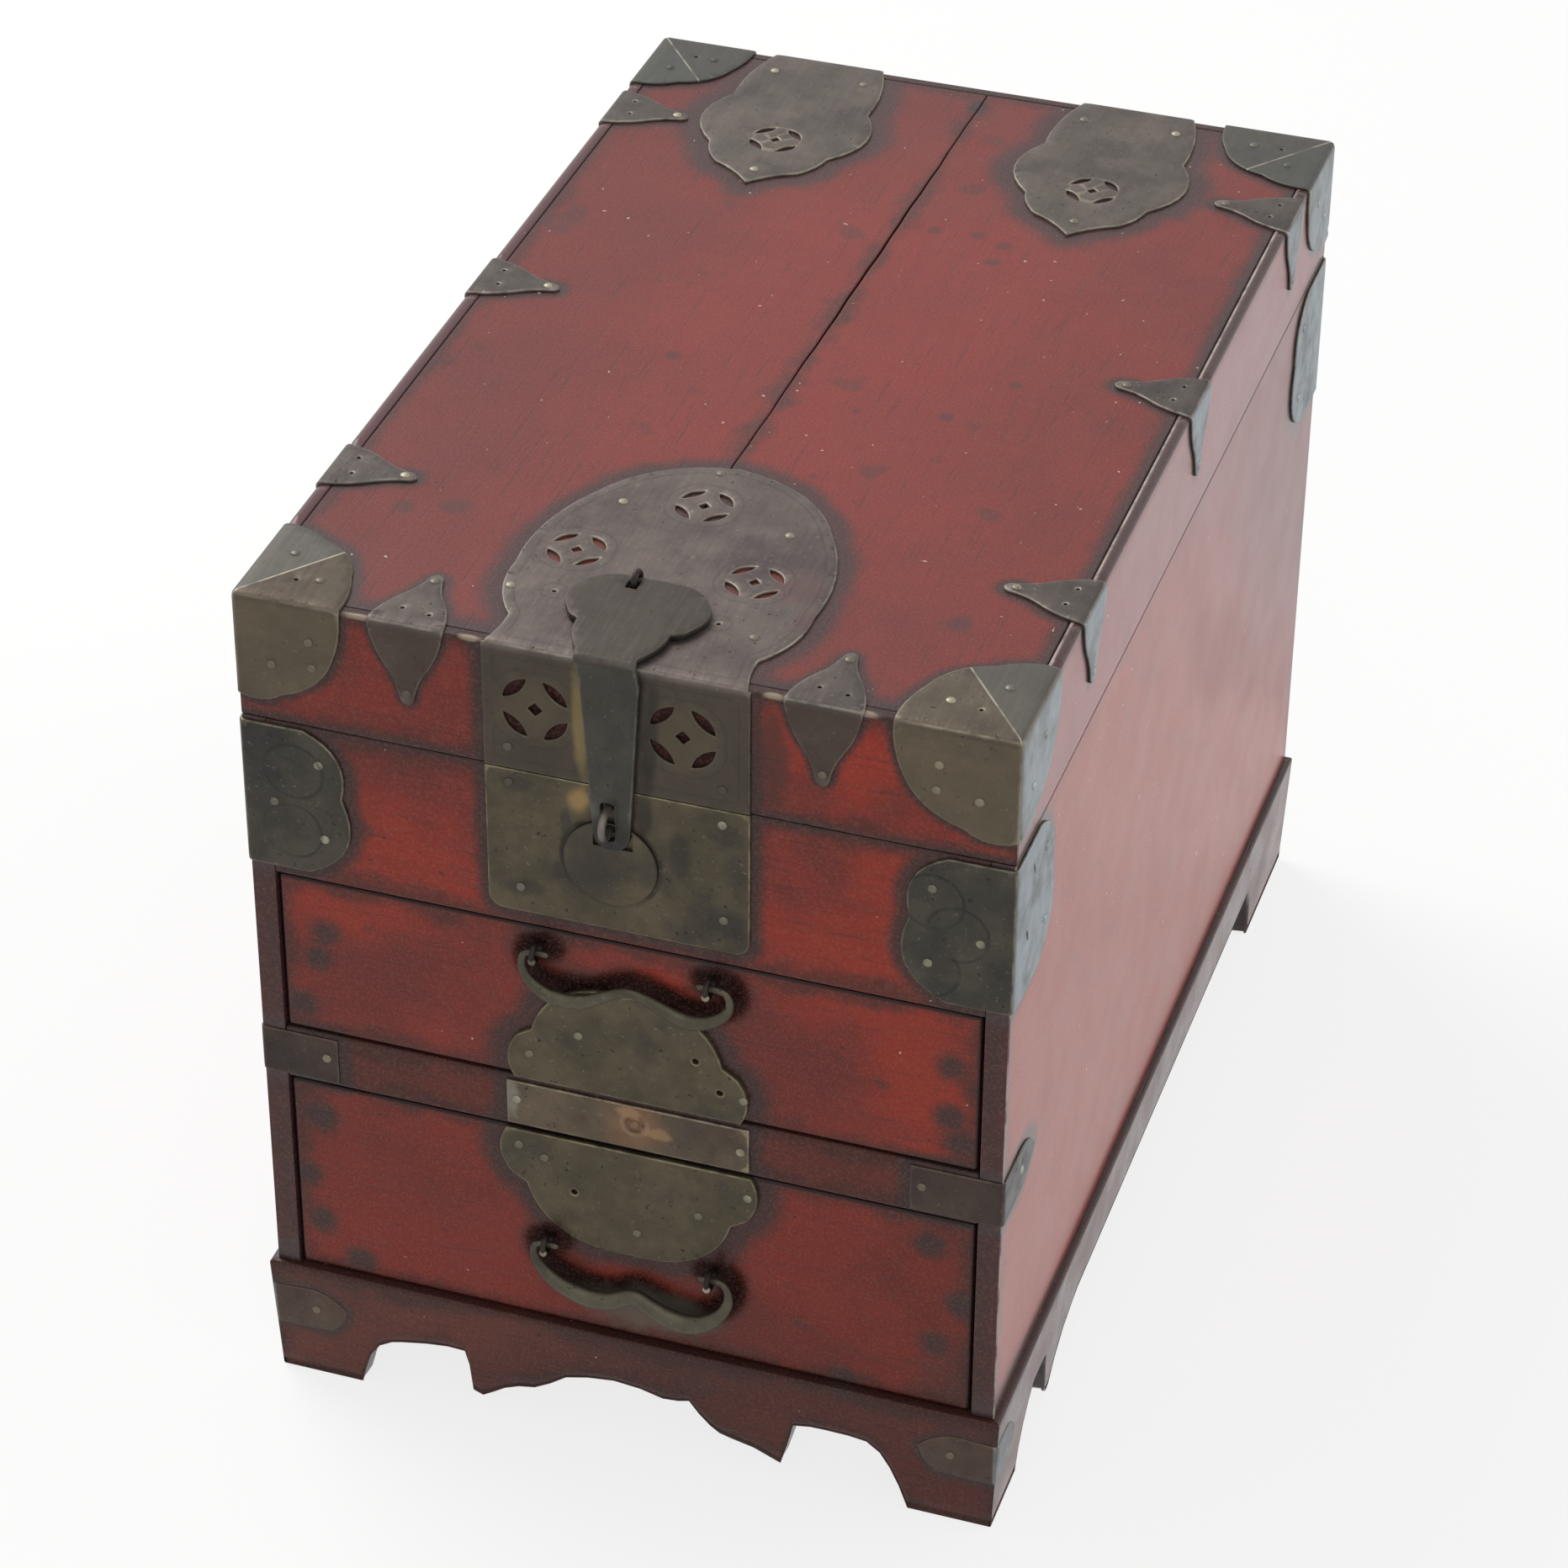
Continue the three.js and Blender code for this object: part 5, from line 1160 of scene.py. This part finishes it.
# Half roundels: sheet with two lobes a side and a cusp between them, nailed to the drawer fronts. With the
# strip they make up one lobed roundel.
ROUNDEL = [(0.93, 0, 0.16), (0.9, 0.42, 0), (0.78, 0.5, 0.13), (0.38, 0.96, 0.05), (0, 1, 0)]
for name, half, reach, level, way, nails, lost in (
        ("upper", 31.2, 31.2, 112.3, 1, [(-24.3, 120.4), (-11.6, 129), (30.2, 119.7)],
         [(18.1, 128.6), (24.2, 120.5)]),
        ("lower", 34.0, 32.5, 95.9, -1,
         [(-27.7, 91.3), (2.7, 71.1), (31.3, 89.8), (18.7, 80.8), (-21.1, 88.8)], [(-13.6, 79.8)])):
    plate(name + "_roundel", "drawer_" + name, name + "_drawer_plate",
          leaf(ROUNDEL, half, reach) * (1, way) + (0.5, level), on_front, nails,
          [round_hole(*spot, 0.9) for spot in lost], halo=16, floor=-0.1 - DRAWER_SET_BACK)

# Wrought fittings: the staples, the posts with their eyes, and the bails, bent from wire. The bails are
# forged wide and flat in their lobes and grey like the plates. The rest is dark, with bright tips to the eyes.
wrought = patina("wrought_dark_brass", (42, 33, 30), (54, 44, 38), (28, 22, 22), (110, 100, 90), 0.4)
bail_brass = patina("bail_brass", (74, 69, 57), (90, 84, 70), (58, 54, 48), (150, 142, 120), 0.45)
staple_brass = patina("staple_brass", (98, 92, 86), (116, 108, 102), (70, 64, 60), (160, 154, 146))
ALONG_X = (1, 0, 0)


def flowing(corners, steps=8):
    """A smooth path through the corners (Catmull-Rom)."""
    p = np.array(corners, float)
    p = np.concatenate([[2 * p[0] - p[1]], p, [2 * p[-1] - p[-2]]])[:, None]
    a, b, c, d = p[:-3], p[1:-2], p[2:-1], p[3:]
    t = np.linspace(0, 1, steps, endpoint=False)[:, None]
    bent, twisted = 2 * a - 5 * b + 4 * c - d, 3 * b - a - 3 * c + d
    path = 0.5 * (2 * b + (c - a) * t + bent * t ** 2 + twisted * t ** 3)
    return np.concatenate([path.reshape(-1, p.shape[-1]), p[-2]])


def rod(path, radii, across=ALONG_X, closed=False, sides=12):
    """A round bar along a path in a plane: path + radius * (cos * across + sin * normal), where across is the
    plane's own normal. Open ends are domed."""
    path = np.array(path, float)
    radii = np.broadcast_to(np.array(radii, float), len(path))
    if not closed:
        dome = np.radians([90, 65, 35])
        first, last = unit(path[0] - path[1]), unit(path[-1] - path[-2])
        path = np.concatenate([path[0] + radii[0] * np.sin(dome)[:, None] * first, path,
                               path[-1] + radii[-1] * np.sin(dome[::-1])[:, None] * last])
        radii = np.concatenate([radii[0] * np.cos(dome), radii, radii[-1] * np.cos(dome[::-1])])
    way = np.roll(path, -1, 0) - np.roll(path, 1, 0) if closed else np.gradient(path, axis=0)
    across = np.broadcast_to(np.array(across, float), path.shape)
    normal = unit(np.cross(unit(way), unit(across)))
    turn = np.linspace(0, 2 * np.pi, sides, endpoint=False)[None, :, None]
    spokes = np.cos(turn) * across[:, None] + np.sin(turn) * normal[:, None]
    points = path[:, None] + radii[:, None, None] * spokes
    faces = grid_faces(len(path) + closed, sides, closed=True) % (len(path) * sides)
    return shell(points.reshape(-1, 3), faces.tolist())


LID_STAPLE_X, STAPLE_FOOT, PIVOT_Y, EYE_RADIUS = -7.2, 230.9, -153.5, 2.45
bow = np.linspace(0, np.pi, 13)
loop = np.stack([0 * bow + LID_STAPLE_X, -117.9 - 2.3 * np.cos(bow), 239.5 + 2.15 * np.sin(bow)], 1)
ends = [[(LID_STAPLE_X, y, z) for z in (STAPLE_FOOT, 236)] for y in (-120.2, -115.6)]
metal_piece("lid_staple_wire", "lid", "lid_staple",
            [rod(np.concatenate([ends[0], loop, ends[1][::-1]]), 0.8)], wrought)
loop = np.stack([0 * bow + DISC_X, -153.8 - 3.1 * np.sin(bow), STAPLE_Z - STAPLE_HALF * np.cos(bow)], 1)
ends = [[(DISC_X, y, STAPLE_Z + s * STAPLE_HALF) for y in (-142.5, -148)] for s in (-1, 1)]
metal_piece("case_staple_wire", "carcass", "case_staple",
            [rod(np.concatenate([ends[0], loop, ends[1][::-1]]), 1.0)], staple_brass)

# Each bail as (x, drop below its eyes, half its width): its inner edge has two hollows and a hump between.
UPPER_BAIL = [
    (-18.4, 0, 0.8), (-21.8, 0, 0.8), (-23.9, 0.9, 0.9), (-24.6, 3.4, 1), (-24, 6.4, 1.2), (-22, 9.2, 1.6),
    (-18.3, 11.6, 2), (-13.5, 12.4, 2.1), (-8.6, 11.4, 1.9), (-4, 8.9, 1.5), (1.5, 6.3, 1.3), (5.8, 6.8, 1.4),
    (10.5, 8.7, 1.8), (15, 10.6, 2.1), (19, 11, 2), (23, 9.7, 1.7), (26.4, 7, 1.4), (27.7, 4, 1.1),
    (27.2, 1.2, 0.95), (25.2, 0, 0.85), (20.1, 0, 0.8)]
LOWER_BAIL = [
    (-17.8, 0, 0.8), (-21.2, 0, 0.8), (-23.2, 0.9, 0.9), (-23.6, 3.4, 1.1), (-22.3, 6.8, 1.5), (-19, 10.4, 2),
    (-14.6, 13, 2.4), (-9, 14.4, 2.7), (-3.6, 13.8, 2.5), (2.4, 10.9, 2.3), (6.4, 12.6, 2.5), (11, 14.9, 2.8),
    (16, 15.7, 2.8), (21.2, 14.2, 2.4), (25.2, 10.4, 1.7), (27.2, 6, 1.3), (27, 2.2, 1), (25, 0, 0.85),
    (20.1, 0, 0.8)]
turn = np.linspace(0, 2 * np.pi, 24, endpoint=False)
circle = EYE_RADIUS * np.stack([0 * turn, np.cos(turn), np.sin(turn)], 1)
for name, level, left_eye, corners in (("upper", 153.5, -21.0, UPPER_BAIL),
                                       ("lower", 63.5, -20.2, LOWER_BAIL)):
    for side_name, x in (("left", left_eye), ("right", 22.5)):
        shank = [(x, y, level) for y in (PIVOT_Y + 2.4, -150.2, -146, -141.5)]
        metal_piece(f"{name}_eye_{side_name}", "drawer_" + name, f"{name}_post_{side_name}",
                    [rod(circle + (x, PIVOT_Y, level), 0.75, closed=True), rod(shank, [1.0, 1.0, 1.0, 0.8]),
                     nail_heads([(x, level - 0.8)], on_front, 5.9, 1.1, 0.8)], wrought)
        mark(haloes, x, level, 12.0)
        # A painted shade on the wood round each eye.
        mark(sooted, x, level, 4.5)
    along, drop, half = flowing(corners).T
    path = np.stack([along, PIVOT_Y + 0 * along, level - drop], 1)
    metal_piece(name + "_handle", "bail_" + name, name + "_bail", [rod(path, half, (0, 0.7, 0))], bail_brass)
    # A painted shade on the wood behind the bail's upper edge.
    sooted.append((path + np.stack([0 * half, 0 * half + 4, half - 1.5], 1), 5.5))
    haloes.append((path, 10.0))
for name, _ in SIDES:
    low, high, y, z = pin_place(name)
    metal_piece("pin_" + name, "carcass", "hinge_pin_" + name,
                [rod([(low + 1, y, z), (low + 10, y, z), (high - 1, y, z)], 1.0, (0, 0, 1))], wrought)

# Hasp: a lobed leaf that turns on the lid's staple, bent down into a tapering strap over the front. The case
# staple stands through a slot near the strap's round end.
HASP_LIFT, HASP_THICK = 1.4, 1.4
HASP_LEAF_X, HASP_LEAF_HALF, HASP_LEAF_REACH = -3.3, 16.8, 35.8
HASP_STRAP_X, HASP_STRAP_HALF, HASP_STRAP_DROP = -1.6, 7.6, 52.8
hasp_brass = patina("hasp_brass", (60, 58, 52), (72, 70, 64), (48, 47, 46), (100, 101, 94), 0.44)
height = axes_of(hasp_brass.node_tree)[2]
film(step_up(height, LID_LEVEL + 0.0004, LID_LEVEL + 0.0012, 0.55), 66, 54, 49)
# A painted shade on the strap's lower end, down in the disc's notch.
film(step_up(height, 0.199, 0.192, 0.75), 42, 38, 36)
hasp_leaf = leaf([(0.45, 0, 0), (0.45, 0.1, 0.08), (0.68, 0.42, 0.12), (0.88, 0.5, 0.22), (0.78, 0.93, 0.1),
                  (0.3, 1, 0)], HASP_LEAF_HALF, HASP_LEAF_REACH) + (HASP_LEAF_X, -HASP_LIFT)
STRAP_TAPER = [(1, 0, 0), (4.6 / HASP_STRAP_HALF, 46 / 50, 0.2), (0, 1, 0)]
hasp_strap = leaf(STRAP_TAPER, HASP_STRAP_HALF, HASP_STRAP_DROP) * (1, -1)
hasp_strap = hasp_strap[::-1] + (HASP_STRAP_X, HASP_LIFT)
hasp_line = np.concatenate([hasp_leaf[hasp_leaf[:, 1] > 1.5], hasp_strap[hasp_strap[:, 1] < 1.3]])
staple_window = np.array([(-8.6, 29.2), (-5.8, 29.2), (-5.8, 32.6), (-8.6, 32.6)])
slot_line = drawn([(-4.1, -48.2, 0), (-3.3, -48.8, 0.1), (-1.5, -48.8, 0.1), (-0.7, -48.2, 0),
                   (-0.7, -38.8, 0.1), (-1.5, -38.2, 0), (-3.3, -38.2, 0.1), (-4.1, -38.8, 0)], steps=3)
hasp_lay = over_edge("front", (HALF_WIDTH, HALF_DEPTH + HASP_LIFT, LID_TOP + HASP_LIFT), 0.5)
hasp_sheet = sheet_metal(hasp_line, [staple_window, slot_line], hasp_lay, HASP_THICK, 0.0, ((), (0,)), 2.5)
metal_piece("hasp_strap", "hasp", "hasp", [hasp_sheet], hasp_brass)

# Trim: strips round the case corners at the rail and small plates round the base corners, thin and dark, each
# held by one or two nails. They are too thin to stand in the CAD model.
TRIM = 0.5
strap_brass = painted_flank_sheen(patina("strap_brass", (59, 49, 44), (71, 59, 52), (48, 40, 38), (94, 82, 72)))
for y, z in ((-141, 108.2), (-135, 106.4)):
    patch(strap_brass, (22, 20, 21), (95.5, y, z), (2, 1.3, 0.9), 0.9, (-20, 0, 0), 0.2, 0.5)
foot_brass = painted_flank_sheen(patina("foot_brass", (73, 59, 51), (83, 68, 59), (58, 46, 42), (90, 76, 66)), 0.5)


def trim(name, corners, lay, nails, material, halo):
    """A thin plate of its own with its nails."""
    points, faces, rim, head = joined(sheet_metal(drawn(corners), [], lay, TRIM, folds=((0,), ()), step=2.5),
                                      nail_heads(nails, lay, TRIM))
    haloes.append((points[::2], halo))
    piece_of(name, points, faces, "carcass", material, "brass", rim=rim, head=head)


def on_base(side, end):
    """Lays a drawing (a, level) round the base's corner, which leans in towards the feet."""
    def lay(flat, height):
        a, level = flat.T
        proud = BASE_PROUD - BASE_LEAN * (1 - level / BASE_TOP) - 0.2
        x, y = HALF_WIDTH + proud, HALF_DEPTH + proud
        sharp = np.stack([side * (x - np.maximum(a, 0)), end * (y + np.minimum(a, 0)), level], 1)
        return wrapped(sharp, height, np.stack([x, y, 1e5 + 0 * level], 1))
    return lay


for name, side, reach in (("left", -1, 20), ("right", 1, 23)):
    strap = [(reach, 97.6, 0), (reach, 110.9, 0), (-14, 110.9, 0.12), (-26, 104, 0.12), (-14, 97.6, 0)]
    trim("rail_strap_" + name, strap, round_corner(side, -1), [(reach - 3, 105), (-14, 104.5)], strap_brass,
         6.0)
    foot = [(15, 16, 0.1), (20, 23.5, 0.1), (11, 29, 0), (-9, 28, 0.1), (-16, 22, 0.1), (-10, 15, 0)]
    trim("foot_plate_" + name, foot, on_base(side, -1), [(11.5, 22.5)], foot_brass, 3.5)

# The stain: oil and tarnish crept out of every fitting into the lacquer. A painted shade lies behind the
# bails, round the eyes and in the wood behind the front coins. A board's point takes 1 - distance / reach from
# the nearest of them, for each in turn, and it fades from 2.5 to 4 mm inside the box. Behind two of the cloud
# plate's coins the wood has stayed redder.
coin_spots = np.array([cloud_coins[0], cloud_coins[2]]) - (0, HALF_DEPTH)
for board, points, first in lacquered:
    for key, levels, sources_of in (("stain", first, haloes), ("soot", 0 * first, sooted)):
        for sources, reach in sources_of:
            low, high = sources.min(0) - reach, sources.max(0) + reach
            close = np.flatnonzero(((points > low) & (points < high)).all(1))
            if len(close):
                levels[close] = np.maximum(levels[close], 1 - nearest(points[close], sources, 1500) / reach)
        deep = np.minimum((HALF_WIDTH, HALF_DEPTH) - np.abs(points[:, :2]), LID_TOP - points[:, 2:]).min(1)
        levels = levels * np.clip((4 - deep) / 1.5, 0, 1)
        if board.name.startswith("lid_top"):
            levels = levels * np.where(nearest(points[:, :2], coin_spots) < 8.2, 0.45, 1.0)
        board.data.attributes[key].data.foreach_set("value", levels.astype(np.float32))
